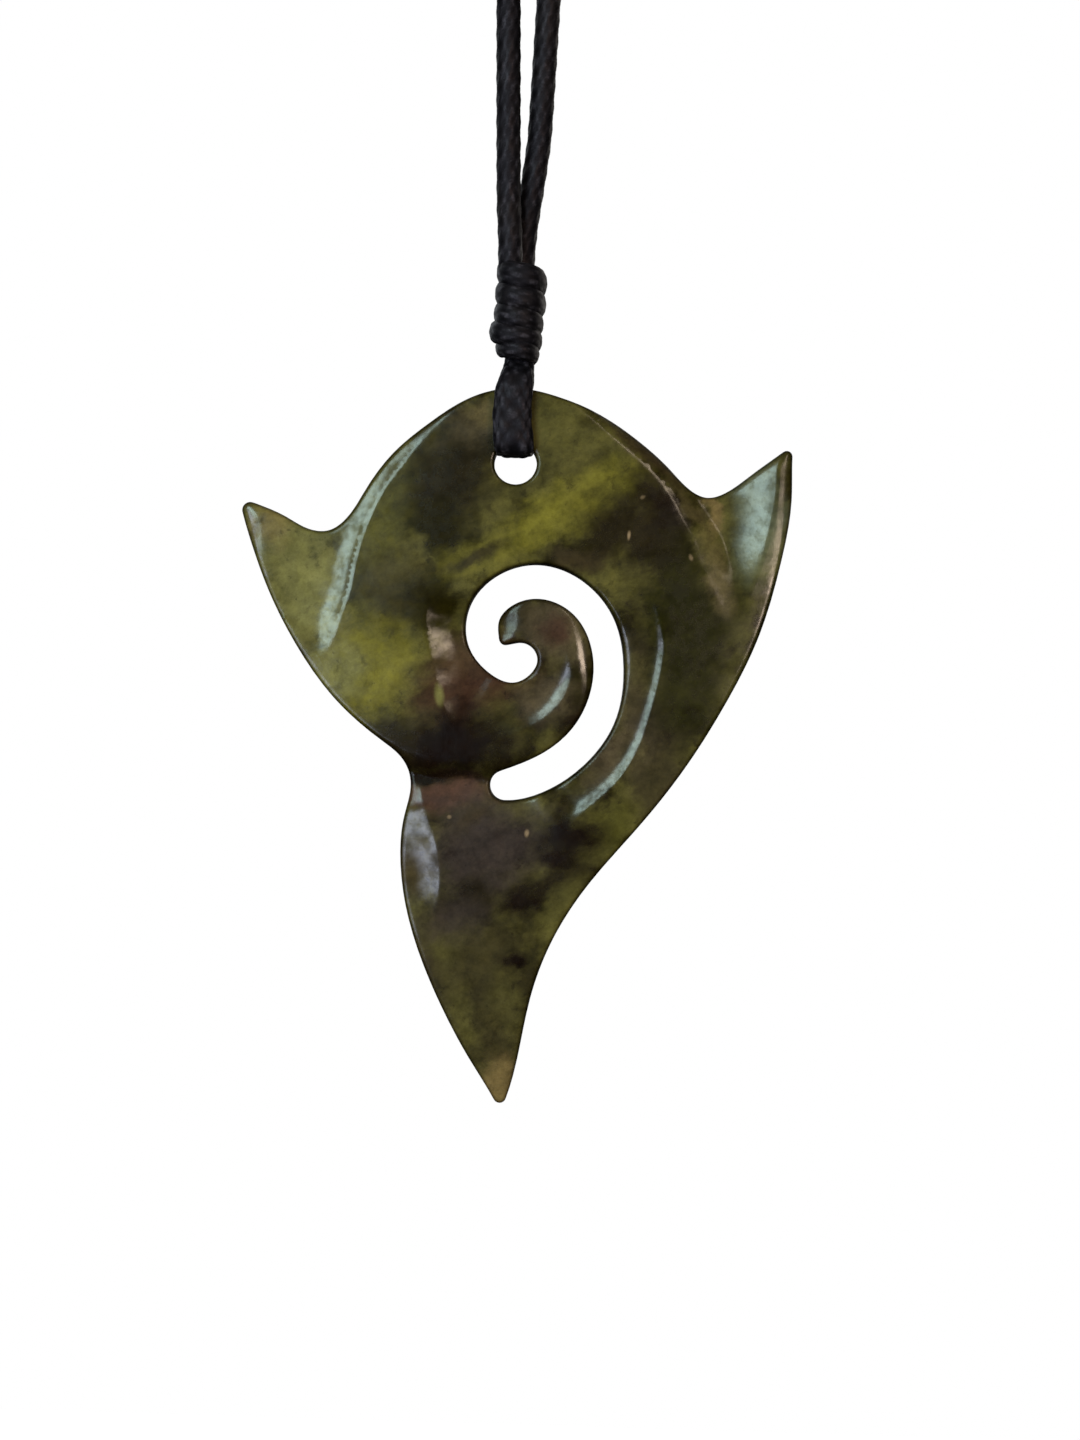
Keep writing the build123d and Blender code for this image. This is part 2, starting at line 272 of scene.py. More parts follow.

# Clouds in the stone's colour: the place, the half sizes, the turn in degrees, the colour and how strong it
# is. Some rows are painted highlights, sheen and shadow, as said above them.
CLOUDS = [
    ((-11.0, -5.0), (3.0, 6.0), -20, OLIVE_DEEP, 0.8),
    ((-5.0, -1.0), (4.4, 3.4), 35, BROWN, 0.95),
    ((-6.0, -4.6), (2.6, 2.2), 0, OLIVE_DARK, 0.85),
    ((-3.0, 2.4), (3.0, 1.3), 10, BROWN_GREY, 0.85),
    ((-2.4, 3.6), (1.8, 1.0), 0, OLIVE_TAN, 0.9),
    ((4.9, 1.5), (4.2, 2.6), -25, OLIVE, 0.9),
    ((8.6, -1.2), (2.6, 1.2), -40, OLIVE_DARK, 0.8),
    ((5.0, -2.9), (5.2, 1.7), 27, YELLOW_GREEN, 0.85),
    ((-1.4, -6.8), (5.4, 1.6), 27, YELLOW_GREEN, 0.45),
    ((-3.2, -7.6), (2.6, 0.7), 30, OLIVE_SHADE, 0.95),
    ((9.6, -5.0), (4.8, 2.6), -20, BROWN, 0.95),
    ((11.9, -2.9), (2.8, 1.5), -48, BROWN_BLACK, 0.8),
    ((10.8, 1.2), (4.2, 0.8), -42, BROWN_WARM, 0.85),
    ((5.1, -7.3), (2.4, 0.9), 0, BROWN_WARM, 0.8),
    ((14.6, -10.7), (3.9, 5.3), 0, GREEN_DEEP, 0.95),
    # Painted highlight: a paler colour where the right wing's face reflects the window, under the real
    # reflection.
    ((19.3, -4.0), (2.2, 4.5), 0, PAINTED_REFLECTION_GREEN, 0.8),
    ((15.9, -4.5), (1.3, 3.2), -15, OLIVE, 0.9),
    # The next three rows are painted highlights: tan streaks along the crest of the body over the right
    # wing and at its foot, in place of the warm lamp's reflection line.
    ((15.6, -3.6), (0.6, 1.6), 10, TAN, 0.9),
    ((16.0, -8.4), (0.8, 3.2), 14, OLIVE_TAN, 0.8),
    ((14.0, -3.4), (0.6, 2.0), 32, OLIVE_TAN, 0.6),
    ((-17.7, -7.2), (3.7, 3.3), -40, OLIVE_YELLOW, 0.75),
    ((-19.4, -5.4), (1.6, 1.8), 0, TAN, 0.5),
    ((-16.0, -11.2), (2.6, 3.3), 0, OLIVE_YELLOW, 0.9),
    ((-11.7, -16.8), (3.7, 4.8), -38, YELLOW_GREEN, 0.7),
    ((-14.0, -17.6), (1.8, 2.6), -38, OLIVE_YELLOW, 0.85),
    ((-9.6, -10.0), (2.4, 3.0), 0, OLIVE_SHADE, 0.7),
    ((-6.8, -12.0), (2.4, 2.4), 0, OLIVE_DARK, 0.85),
    ((-3.0, -17.4), (4.2, 3.0), 20, RED_BROWN, 0.85),
    ((-5.0, -16.2), (1.6, 1.2), 0, GREY_BROWN, 0.25),
    ((-4.2, -22.3), (5.8, 2.5), 6, BROWN_BLACK, 0.97),
    ((3.7, -13.5), (2.9, 2.2), 0, GREY_BROWN, 0.9),
    ((3.4, -13.4), (1.2, 1.0), 0, RED_BROWN, 0.8),
    ((3.1, -18.8), (2.6, 1.8), 30, GREY_BROWN, 0.95),
    ((5.6, -20.0), (1.4, 3.4), -35, BROWN_BLACK, 0.7),
    ((-4.5, -26.2), (3.9, 1.3), 0, RED, 0.95),
    # Painted shadow: a thin dark line in the crease where the body overlaps the tail.
    ((-5.0, -24.75), (5.4, 0.5), -6, BROWN_BLACK, 0.85),
    ((-1.5, -30.4), (5.3, 4.2), 0, PURPLE_GREY, 0.95),
    ((-3.0, -28.6), (1.6, 0.7), 30, BROWN_WARM, 0.6),
    ((4.6, -31.6), (1.6, 0.8), 20, BROWN_BLACK, 0.8),
    ((1.9, -34.8), (2.3, 1.4), 20, BROWN_BLACK, 0.97),
    ((-2.4, -34.6), (1.8, 1.6), 20, BROWN, 0.8),
    ((-7.2, -32.2), (1.4, 2.4), 12, BROWN_WARM, 0.8),
    ((-8.4, -21.6), (2.2, 1.6), -30, BROWN, 0.8),
    ((10.9, -20.6), (2.2, 6.1), 10, GREY_BROWN, 0.6),
    # Painted sheen: a lighter grey band between the slot and the shoulder's highlight, in place of the
    # sheen on that bevel.
    ((8.2, -22.9), (3.4, 1.0), 52, GREY_BROWN, 0.8),
    ((14.3, -17.9), (3.2, 5.3), 0, GREEN_DEEP, 0.85),
    ((12.4, -24.6), (3.4, 1.4), 50, OLIVE_SHADE, 0.7),
    ((8.3, -28.9), (2.4, 1.6), 48, OLIVE_DEEP, 0.8),
    ((5.6, -29.7), (2.6, 1.6), 10, BROWN_BLACK, 0.97),
    ((5.7, -32.5), (2.2, 1.1), 45, BROWN, 0.75),
    ((4.4, -35.2), (2.8, 0.9), 52, OLIVE, 0.7),
    ((-2.0, -40.6), (4.7, 4.2), 0, OLIVE_SHADE, 0.9),
    ((-5.2, -38.2), (1.4, 2.6), 25, OLIVE, 0.6),
    ((0.6, -42.6), (1.4, 2.2), -10, OLIVE, 0.6),
    ((-0.6, -45.5), (2.4, 3.3), 0, OLIVE_SHADE, 0.7),
    ((-2.8, -44.0), (0.9, 2.4), 28, OLIVE, 0.7),
    ((0.5, -49.5), (1.7, 2.0), 0, TAN, 0.9),
    ((0.4, -39.3), (1.4, 0.7), 20, BROWN, 0.6),
    ((1.2, -39.2), (0.9, 0.5), 20, BROWN_BLACK, 0.9),
    ((-3.9, -36.4), (2.6, 1.7), 10, PURPLE_GREY, 0.75),
    ((-5.9, -39.6), (1.0, 1.8), 25, BROWN_WARM, 0.6),
]

# Small marks painted at the stone's front, written like the clouds: a yellow-olive streak, and pale tan
# painted glints, small highlights of the warm lamp put into the colour
MARKS_AND_PAINTED_GLINTS = [
    ((-5.5, -18.6), (0.34, 0.80), 8, OLIVE_YELLOW, 0.9),
    ((9.2, -5.5), (0.13, 0.36), -4, PAINTED_GLINT_TAN, 0.9),
    ((14.2, -7.1), (0.16, 0.26), 20, PAINTED_GLINT_TAN, 0.8),
    ((1.8, -29.4), (0.16, 0.28), 0, PAINTED_GLINT_TAN, 0.9),
    ((-4.4, -28.3), (0.16, 0.14), 0, PAINTED_GLINT_TAN, 0.6),
    ((10.2, -2.4), (0.20, 0.14), 30, PAINTED_GLINT_TAN, 0.4),
]

# A cloud's soft edge, from outside in, in half sizes; how far it frays, for clouds, marks and dull
# places; and how far behind the middle plane it lies, with its half size that way
CLOUD_EDGE = (1.6, 0.35)
CLOUD_FRAY = 0.9
MARK_FRAY = 1.2
DULL_FRAY = 1.5
CLOUD_DEPTH = (0.0, 6.0)
MARK_DEPTH = (-STONE_HALF, 1.5)

# The grain of the stone: its turn in degrees and its stretch. The clouds hardly change with depth.
GRAIN_TURN = 32.0
GRAIN_STRETCH = (1.7, 1.2, 0.9)
DEPTH_SHARE = 0.25

# Noises: the scale for each millimetre, the detail and the roughness. The drifts also have their reach.
BROAD_DRIFT = ((0.16, 3.0, 0.6), 4.0)
FINE_DRIFT = ((0.55, 6.0, 0.7), 2.2)
FRAY_NOISE = (0.7, 7.0, 0.72)
RIPPLE_NOISE = (0.8, 4.0, 0.55)
THREAD_NOISE = (7.0, 3.0, 0.6)

# Patterns: noise as above, where a smooth step over it starts and ends, and how strong the pattern is
PATTERNS = {
    "ground": (0.20, 5.0, 0.6, 0.38, 0.62, 1.0),
    "veins": (0.45, 7.0, 0.68, 0.30, 0.70, 0.46),
    "spots": (1.2, 8.0, 0.75, 0.32, 0.68, 0.44),
    "smudges": (0.55, 5.0, 0.62, 0.56, 0.72, 0.45),
    "flecks": (1.6, 4.0, 0.6, 0.64, 0.72, 0.4),
    "smears": (0.6, 4.0, 0.6, 0.3, 0.7, 0.2),
    "polish": (0.8, 6.0, 0.7, 0.36, 0.60, 0.65),
    "brown wax": (0.30, 4.0, 0.6, 0.42, 0.66, 0.6),
    "worn wax": (1.4, 5.0, 0.65, 0.45, 0.75, 1.0),
    "dull wax": (0.9, 5.0, 0.6, 0.3, 0.7, 0.22),
}

# What patterns are added to: the stone's shade, roughness and polish, and the cord's roughness
LEAST_SHADE = 0.53
LEAST_ROUGHNESS = 0.30
LEAST_POLISH = 0.35
WAX_ROUGHNESS = 0.44

# Smooth steps: start, end and strength. The first two are near the stone's rim, the first of them darkening
# its colour as painted shade, the rest on the strands.
# The gaps between strands keep GAP_COLOUR of their colour, as painted shade.
RIM_PAINTED_SHADE = (0.35, 1.0, 0.7)
RIM_DULL = (0.1, 0.75, 0.9)
CROWN_PAINTED_HIGHLIGHT = (0.25, 0.9, 0.8)
GLOSSY_CROWN = (0.3, 1.0, 0.08)
GAP_SHADE = (-0.1, 0.7, 0.7)
GAP_COLOUR = 0.3

# The strength and height of the stone's ripple and of the cord's threads, and how the threads stretch
RIPPLE = (0.30, 0.05 * MM)
THREADS = (0.35, 0.06 * MM)
THREAD_STRETCH = (1.0, 1.0, 0.5)

# The cord's finish, and its colours where the wax is thin and where the crowns carry a painted highlight
CORD_MATERIAL = "Waxed black cord"
CORD_BROWN = (0.011, 0.009, 0.008)
CORD_CROWN_HIGHLIGHT = (0.056, 0.052, 0.066)

# Values of the surface shaders that are the same all over
STONE_SHADER = {
    "IOR": 1.61,
    "Specular IOR Level": 0.02,
    "Coat IOR": 1.61,
    "Coat Roughness": 0.17,
    "Subsurface Weight": 0.06,
    "Subsurface Radius": (1.0, 0.9, 0.4),
    "Subsurface Scale": 0.8 * MM,
}
CORD_SHADER = {"Specular IOR Level": 0.21, "Specular Tint": (0.94, 0.82, 0.96, 1.0)}
FLOOR_SHADER = {
    "Base Color": (0.9, 0.9, 0.9, 1.0),
    "Roughness": 0.9,
    "Emission Color": (1.0, 1.0, 1.0, 1.0),
    "Emission Strength": 1.0,
}

# Lights: name, angles to the right and up in degrees, distance and size in metres, the setting that gives
# the power and the share of it, and colour. All of them point to one place on the stone, LIT_RIGHT of its
# hole and LIT_DROP below it.
LIGHTS = [
    ("window's upper pane", (-26, 16), 0.90, (0.42, 0.32), "key_power", 0.58, (0.72, 1.0, 0.95)),
    ("window's lower pane", (-26, -5.5), 0.90, (0.42, 0.27), "key_power", 0.42, (0.72, 0.80, 1.0)),
    ("sky", (-39, 10), 1.10, (1.10, 1.30), "sky_power", 1.0, (0.95, 0.95, 0.92)),
    ("warm lamp", (25, 6), 0.90, (0.24, 0.12), "fill_power", 1.0, (1.0, 0.78, 0.60)),
    ("warm strip", (24, 23), 0.90, (0.10, 0.24), "fill_power", 0.40, (1.0, 0.80, 0.60)),
    ("overhead", (10, 80), 0.75, (0.70, 0.50), "top_power", 1.0, (1.0, 0.98, 0.95)),
    ("back light, left", (-145, 20), 1.10, (0.80, 1.00), "back_power", 1.0, (0.90, 0.96, 1.0)),
    ("back light, right", (140, 12), 1.10, (0.80, 1.00), "back_power", 1.0, (1.0, 0.95, 0.88)),
]
LIT_RIGHT = 0.002
LIT_DROP = 0.018

# The camera looks this far right of the stone's hole and below it, and sees between two distances
AIM_RIGHT = 2.576 * MM
AIM_DROP = 20.38 * MM
CAMERA_CLIP = (0.01, 20.0)

# The floor's half size and height in metres, and the tint of the room's light on the stone
FLOOR_HALF = 12.0
FLOOR_HEIGHT = -2.0
ROOM_TINT = (1.0, 0.88, 0.70)

# The neck cord's route, in metres, from the knot up its left strand, over the peg and down the right one
NECK_ROUTE = [
    (-0.00090, -0.0010, -0.2950),
    (-0.00090, -0.0010, -0.2925),
    (-0.00136, -0.0010, -0.2875),
    (-0.00868, -0.00006, -0.0174),
    (-0.0092, 0.0, 0.0010),
    (0.0092, 0.0, 0.0010),
    (0.00870, 0.00006, -0.0174),
    (0.00138, 0.00093, -0.2815),
    (0.00080, 0.00095, -0.2868),
    (0.00005, 0.0010, -0.2922),
    (0.00005, 0.0010, -0.2950),
]

# Turns of the knot from the top down, in millimetres: the middle's height above the hole, the left edge,
# the right edge and the height of the turn. All are as deep as the knot and as thick as the cord in them.
KNOT_TURNS = [
    (14.9, -2.02, 2.10, 2.15),
    (13.2, -2.10, 2.12, 2.10),
    (11.6, -2.14, 1.92, 2.00),
    (10.2, -2.55, 1.90, 1.85),
    (9.05, -1.70, 1.72, 1.65),
]
KNOT_DEPTH = 5.7
TURN_THICKNESS = 1.15

# The bail's front leg from the knot down, in millimetres: height above the hole, shift to the right,
# distance in front of the stone's middle plane, half width and half thickness. The back leg is the same
# behind the stone.
BAIL_ROWS = [
    (8.45, 0.05, 0.80, 1.15, 0.58),
    (7.60, 0.02, 1.15, 1.28, 0.60),
    (6.55, -0.14, 2.25, 1.42, 0.58),
    (5.60, -0.30, 2.55, 1.52, 0.56),
    (3.60, -0.38, 2.76, 1.58, 0.54),
    (1.90, -0.22, 2.83, 1.62, 0.54),
    (1.15, -0.12, 2.60, 1.60, 0.50),
    (1.00, -0.06, 1.90, 1.28, 0.42),
    (1.00, 0.00, 0.80, 1.22, 0.40),
]

# The braid: how much a crossing strand counts beside the strand itself, and the sum's lowest and span
CROSSING_LIFT = 0.6
WEAVE_LOWEST = 0.5
WEAVE_SPAN = 1.1

# The neck cord's points along each stretch of its route, and around it for each strand
ROUTE_POINTS = 48
STRAND_POINTS = 4

# The knot's points on each turn of its line and around the cord, the step along it and its relief. Both
# ends are tucked in over part of a turn, from a share of the full size. The power makes the turns squarer.
TURN_POINTS = 72
KNOT_AROUND = 64
KNOT_STEP = 0.10 * MM
KNOT_RELIEF = 0.035 * MM
TUCK_SPANS = (0.30, 0.35)
TUCKED_SHARE = 0.55
TUCK_TRAVEL = 0.45
TURN_ROUNDNESS = 0.8

# The bail's points along its line and around it, the step along it and the power that squares its section
BAIL_POINTS = 400
BAIL_AROUND = 96
BAIL_STEP = 0.09 * MM
BAIL_SQUARENESS = 0.75


def length_setting(name, description, default):
    """A length that a user can set, in metres."""
    return bpy.props.FloatProperty(name=name, description=description, default=default, unit="LENGTH")


def power_setting(name, description, default):
    """A light's power that a user can set, in watts."""
    return bpy.props.FloatProperty(name=name, description=description, default=default, unit="POWER")


def share_setting(name, description, default):
    """A share from 0 to 1 that a user can set."""
    return bpy.props.FloatProperty(
        name=name, description=description, default=default, min=0.0, max=1.0, subtype="FACTOR"
    )


def colour_setting(name, description, default):
    """A colour that a user can set."""
    return bpy.props.FloatVectorProperty(
        name=name, description=description, default=default, size=3, subtype="COLOR"
    )


class StoneSettings(bpy.types.PropertyGroup):
    """Sizes and finish of the stone."""

    edge_radius: length_setting("Front edge radius", "Rounding where the front meets the side", 0.22 * MM)
    back_radius: length_setting("Back edge radius", "Rounding where the back meets the side", 0.50 * MM)
    outline_step: length_setting("Outline step", "Distance between points along the outline", 0.16 * MM)
    face_step: length_setting("Face step", "Distance between points on the faces", 0.40 * MM)
    waviness: length_setting("Waviness", "How uneven the hand polishing left the faces", 0.035 * MM)
    gloss: share_setting("Gloss", "Strength of the polished coat", 1.0)
    base_colour: colour_setting("Base colour", "Colour between the clouds", OLIVE)


class CordSettings(bpy.types.PropertyGroup):
    """Sizes and finish of the braided cord."""

    diameter: length_setting("Diameter", "Outer diameter of the round cord", 2.0 * MM)
    strands: bpy.props.IntProperty(
        name="Strands each way",
        description="Strands of the braid that run each way round",
        default=8,
        min=3,
    )
    cell: length_setting("Braid cell", "Length of one cell of the braid along the cord", 1.75 * MM)
    relief: length_setting("Braid relief", "How far a strand stands over the gaps", 0.07 * MM)
    colour: colour_setting("Colour", "Colour of the waxed thread", (0.0045, 0.0045, 0.0062))


class StageSettings(bpy.types.PropertyGroup):
    """Camera and studio."""

    camera_distance: length_setting("Camera distance", "From the lens to the stone", 0.42)
    view_height: length_setting("View height", "Height of the picture at the stone", 115.2 * MM)
    roll: bpy.props.FloatProperty(
        name="Camera roll",
        description="Turn of the camera about its view",
        default=math.radians(1.75),
        unit="ROTATION",
    )
    key_power: power_setting("Window light", "Power of the cool window on the left", 4.7)
    sky_power: power_setting("Sky light", "Power of the wide pale light round the window", 1.8)
    fill_power: power_setting("Warm light", "Power of the warm light on the right", 1.3)
    top_power: power_setting("Top light", "Power of the soft light overhead", 0.8)
    back_power: power_setting("Back lights", "Power of each soft light behind the stone", 2.6)
    surround: share_setting("Surround", "Brightness of the room that lights the stone", 0.27)
    mirrored: share_setting("Mirrored surround", "Brightness of the room in the polish", 0.01)


class Wire:
    """An output of a node. Python's operators on it add Math nodes."""

    def __init__(self, graph, socket):
        self.graph = graph
        self.socket = socket

    def math(self, operation, *others):
        """A Math node on this output and the others."""
        return self.graph.node("ShaderNodeMath", {"operation": operation}, dict(enumerate((self, *others))))

    def output(self, name):
        """Another output of the same node."""
        return Wire(self.graph, self.socket.node.outputs[name])

    def __add__(self, other):
        return self.math("ADD", other)

    def __radd__(self, other):
        return self.math("ADD", other)

    def __sub__(self, other):
        return self.math("SUBTRACT", other)

    def __rsub__(self, other):
        return self.graph.node("ShaderNodeMath", {"operation": "SUBTRACT"}, {0: other, 1: self})

    def __mul__(self, other):
        return self.math("MULTIPLY", other)

    def __rmul__(self, other):
        return self.math("MULTIPLY", other)

    def __truediv__(self, other):
        return self.math("DIVIDE", other)


class Graph:
    """A node tree that grows by one method."""

    def __init__(self, tree):
        self.tree = tree

    def node(self, kind, settings=None, sockets=None, out=0):
        """Adds a node, sets its settings and then its sockets, and gives one of its outputs."""
        made = self.tree.nodes.new(kind)
        for name, value in (settings or {}).items():
            setattr(made, name, value)
        for name, value in (sockets or {}).items():
            self.feed(made.inputs[name], value)
        outputs = made.outputs
        return Wire(self, outputs[out]) if len(outputs) else made

    def feed(self, socket, value):
        """Links a wire to a socket, or sets the socket's own value."""
        if isinstance(value, Wire):
            self.tree.links.new(value.socket, socket)
        elif value is not None:
            socket.default_value = value

    def vector(self, operation, *values, out=0):
        """A Vector Math node. A scale's factor is its fourth input."""
        sockets = dict(enumerate(values))
        if operation == "SCALE":
            sockets = {0: values[0], 3: values[1]}
        return self.node("ShaderNodeVectorMath", {"operation": operation}, sockets, out)

    def mix(self, share, first, second):
        """Mixes two colours."""
        settings = {"data_type": "RGBA", "blend_type": "MIX", "clamp_factor": True}
        if not isinstance(first, Wire):
            first = (*first, 1.0)
        if not isinstance(second, Wire):
            second = (*second, 1.0)
        return self.node("ShaderNodeMix", settings, {0: share, 6: first, 7: second}, 2)

    def noise(self, place, scale, detail, rough, colour=False):
        """Noise for each millimetre, as a number or as a colour."""
        sockets = {"Vector": place, "Scale": scale, "Detail": detail, "Roughness": rough}
        return self.node("ShaderNodeTexNoise", None, sockets, 1 if colour else 0)

    def drift(self, place, kind, reach):
        """A shift to and fro, up to half the reach each way."""
        way = self.vector("SUBTRACT", self.noise(place, *kind, True), (0.5, 0.5, 0.5))
        return self.vector("SCALE", way, reach)

    def pattern(self, place, name):
        """One of the named patterns."""
        scale, detail, rough, low, high, strength = PATTERNS[name]
        return self.ramp(self.noise(place, scale, detail, rough), low, high, strength)

    def ramp(self, value, low, high, strength=1.0):
        """A smooth step from 0 at low to the strength at high."""
        settings = {"interpolation_type": "SMOOTHSTEP"}
        sockets = {"Value": value, "From Min": low, "From Max": high}
        step = self.node("ShaderNodeMapRange", settings, sockets)
        return step if strength == 1.0 else step * strength

    def bump(self, height, strength, distance):
        """A surface that rises and falls with a number."""
        sockets = {"Strength": strength, "Distance": distance, "Height": height}
        return self.node("ShaderNodeBump", None, sockets)

    def store(self, geometry_wire, name, kind, value):
        """Keeps a value on each point under a name."""
        sockets = {"Geometry": geometry_wire, "Name": name, "Value": value}
        settings = {"data_type": kind, "domain": "POINT"}
        return self.node("GeometryNodeStoreNamedAttribute", settings, sockets)

    def read(self, name, kind="FLOAT"):
        """The value kept on each point under a name."""
        return self.node("GeometryNodeInputNamedAttribute", {"data_type": kind}, {"Name": name})


def new_material(name, values):
    """A material with an empty tree and its surface shader, which gets the given values."""
    material = bpy.data.materials.new(name)
    material.use_nodes = True
    material.node_tree.nodes.clear()
    graph = Graph(material.node_tree)
    output = material.node_tree.nodes.new("ShaderNodeOutputMaterial")
    shader = material.node_tree.nodes.new("ShaderNodeBsdfPrincipled")
    material.node_tree.links.new(shader.outputs[0], output.inputs["Surface"])
    for label, value in values.items():
        shader.inputs[label].default_value = value
    return material, graph, shader


def stone_material(settings):
    """Polished nephrite: clouds of olive and brown that run into each other, flecks and a glossy skin. Some
    clouds and marks are painted highlights, glints, sheen and a crease's shadow, and the colour darkens
    along the rim as painted shade.
    """
    material, graph, shader = new_material("Mottled green stone", STONE_SHADER)
    obj = graph.node("ShaderNodeTexCoord", None, None, "Object")
    from_hole = graph.vector("SUBTRACT", obj, (0.0, 0.0, HOLE_HEIGHT))
    place = graph.vector("SCALE", from_hole, 1 / MM)
    grain = graph.node(
        "ShaderNodeMapping",
        {"vector_type": "TEXTURE"},
        {"Vector": place, "Rotation": (0.0, -math.radians(GRAIN_TURN), 0.0), "Scale": GRAIN_STRETCH},
    )
    broad = graph.drift(place, *BROAD_DRIFT)
    fine = graph.drift(grain, *FINE_DRIFT)
    drifted = graph.vector("ADD", place, graph.vector("ADD", broad, fine))
    flat = graph.vector("MULTIPLY", drifted, (1.0, DEPTH_SHARE, 1.0))
    frayed = graph.noise(grain, *FRAY_NOISE) - 0.5
    rim = graph.node("ShaderNodeAttribute", {"attribute_name": "rim"}, None, "Fac")

    colour = graph.mix(graph.pattern(flat, "ground"), OLIVE_DARK, settings.base_colour[:])
    # Clouds and marks mix their colours in; some are painted highlights, glints, sheen and a crease's
    # shadow, as said where they are listed.
    kinds = ((CLOUDS, flat, CLOUD_FRAY, CLOUD_DEPTH), (MARKS_AND_PAINTED_GLINTS, place, MARK_FRAY, MARK_DEPTH))
    for rows, where, fray, depth in kinds:
        edge = frayed * fray
        for middle, half, turn, tint, strength in rows:
            share = cloud_share(graph, where, edge, middle, half, turn, depth)
            colour = graph.mix(share * strength, colour, tint)
    shade = graph.pattern(grain, "veins") + graph.pattern(place, "spots") + LEAST_SHADE
    colour = graph.vector("SCALE", colour, shade)
    colour = graph.mix(graph.pattern(drifted, "smudges"), colour, BROWN_BLACK)
    colour = graph.mix(graph.pattern(place, "flecks"), colour, BROWN_BLACK)
    # Painted shade: the colour darkens towards the outline, in place of the dark that the rounded edge
    # reflects.
    colour = graph.vector("SCALE", colour, 1.0 - graph.ramp(rim, *RIM_PAINTED_SHADE))
    graph.feed(shader.inputs["Base Color"], colour)

    graph.feed(shader.inputs["Roughness"], graph.pattern(place, "smears") + LEAST_ROUGHNESS)
    graph.feed(shader.inputs["Normal"], graph.bump(graph.noise(place, *RIPPLE_NOISE), *RIPPLE))

    polish = graph.pattern(place, "polish") + LEAST_POLISH
    polish = polish * (1.0 - graph.ramp(rim, *RIM_DULL))
    edge = frayed * DULL_FRAY
    for middle, half, turn, strength in DULL:
        duller = cloud_share(graph, place, edge, middle, half, turn, CLOUD_DEPTH)
        polish = polish * (1.0 - duller * strength)
    graph.feed(shader.inputs["Coat Weight"], polish * settings.gloss)
    return material


def cloud_share(graph, place, frayed, middle, half, turn, depth):
    """How much of a cloud each place has: 1 in its middle, 0 outside, with a soft and frayed edge between.

    depth is how far behind the stone's middle plane the cloud's own middle is, and its half size that way.
    """
    sockets = {
        "Vector": place,
        "Location": (middle[0], depth[0], middle[1]),
        "Rotation": (0.0, -math.radians(turn), 0.0),
        "Scale": (half[0], depth[1], half[1]),
    }
    own = graph.node("ShaderNodeMapping", {"vector_type": "TEXTURE"}, sockets)
    return graph.ramp(graph.vector("LENGTH", own, out="Value") + frayed, *CLOUD_EDGE)


def cord_material(settings):
    """Black waxed thread, glossier on the strands' crowns and browner where the wax is thin, with a painted
    highlight on the crowns and painted shade in the gaps.
    """
    material, graph, shader = new_material(CORD_MATERIAL, CORD_SHADER)
    obj = graph.node("ShaderNodeTexCoord", None, None, "Object")
    place = graph.vector("SCALE", obj, 1 / MM)
    weave = graph.node("ShaderNodeAttribute", {"attribute_name": "weave"}, None, "Fac")
    colour = graph.mix(graph.pattern(place, "brown wax"), settings.colour[:], CORD_BROWN)
    # Painted highlight: the strands' crowns turn a lighter bluish grey in patches.
    crown_highlight = graph.ramp(weave, *CROWN_PAINTED_HIGHLIGHT) * graph.pattern(place, "worn wax")
    colour = graph.mix(crown_highlight, colour, CORD_CROWN_HIGHLIGHT)
    # Painted shade: the colour darkens in the gaps between the strands.
    colour = graph.vector("SCALE", colour, graph.ramp(weave, *GAP_SHADE) + GAP_COLOUR)
    graph.feed(shader.inputs["Base Color"], colour)
    wax = graph.pattern(place, "dull wax") + WAX_ROUGHNESS
    graph.feed(shader.inputs["Roughness"], wax - graph.ramp(weave, *GLOSSY_CROWN))
    threads = graph.noise(graph.vector("MULTIPLY", place, THREAD_STRETCH), *THREAD_NOISE)
    graph.feed(shader.inputs["Normal"], graph.bump(threads, *THREADS))
    return material


# The stone's mesh


def outline_loops(node):
    """A node's closed outlines just behind its middle plane, widest first, in millimetres from the hole."""
    mesh = bmesh.new()
    mesh.from_mesh(frame["nodes"][node].data)
    bmesh.ops.remove_doubles(mesh, verts=mesh.verts, dist=MERGE_DISTANCE)
    parts = [*mesh.verts, *mesh.edges, *mesh.faces]
    made = bmesh.ops.bisect_plane(mesh, geom=parts, plane_co=(0, CUT_DEPTH, 0), plane_no=(0, 1, 0))
    edges = {part for part in made["geom_cut"] if isinstance(part, bmesh.types.BMEdge)}
    loops = []
    while edges:
        edge = edges.pop()
        loop = [edge.verts[0], edge.verts[1]]
        while True:
            onward = next((e for e in loop[-1].link_edges if e in edges), None)
            if onward is None:
                break
            edges.discard(onward)
            loop.append(onward.other_vert(loop[-1]))
        loops.append(np.array([(v.co.x / MM, (v.co.z - HOLE_HEIGHT) / MM) for v in loop[:-1]]))
    mesh.free()
    return sorted(loops, key=lambda loop: -np.ptp(loop[:, 0]))


def turned_loop(loop, outer):
    """The loop with the stone on its left, from its lowest point on. outer is true for the outermost."""
    after = np.roll(loop, -1, axis=0)
    area = np.sum(loop[:, 0] * after[:, 1] - loop[:, 1] * after[:, 0])
    if (area > 0) != outer:
        loop = loop[::-1]
    return np.roll(loop, -int(loop[:, 1].argmin()), axis=0)


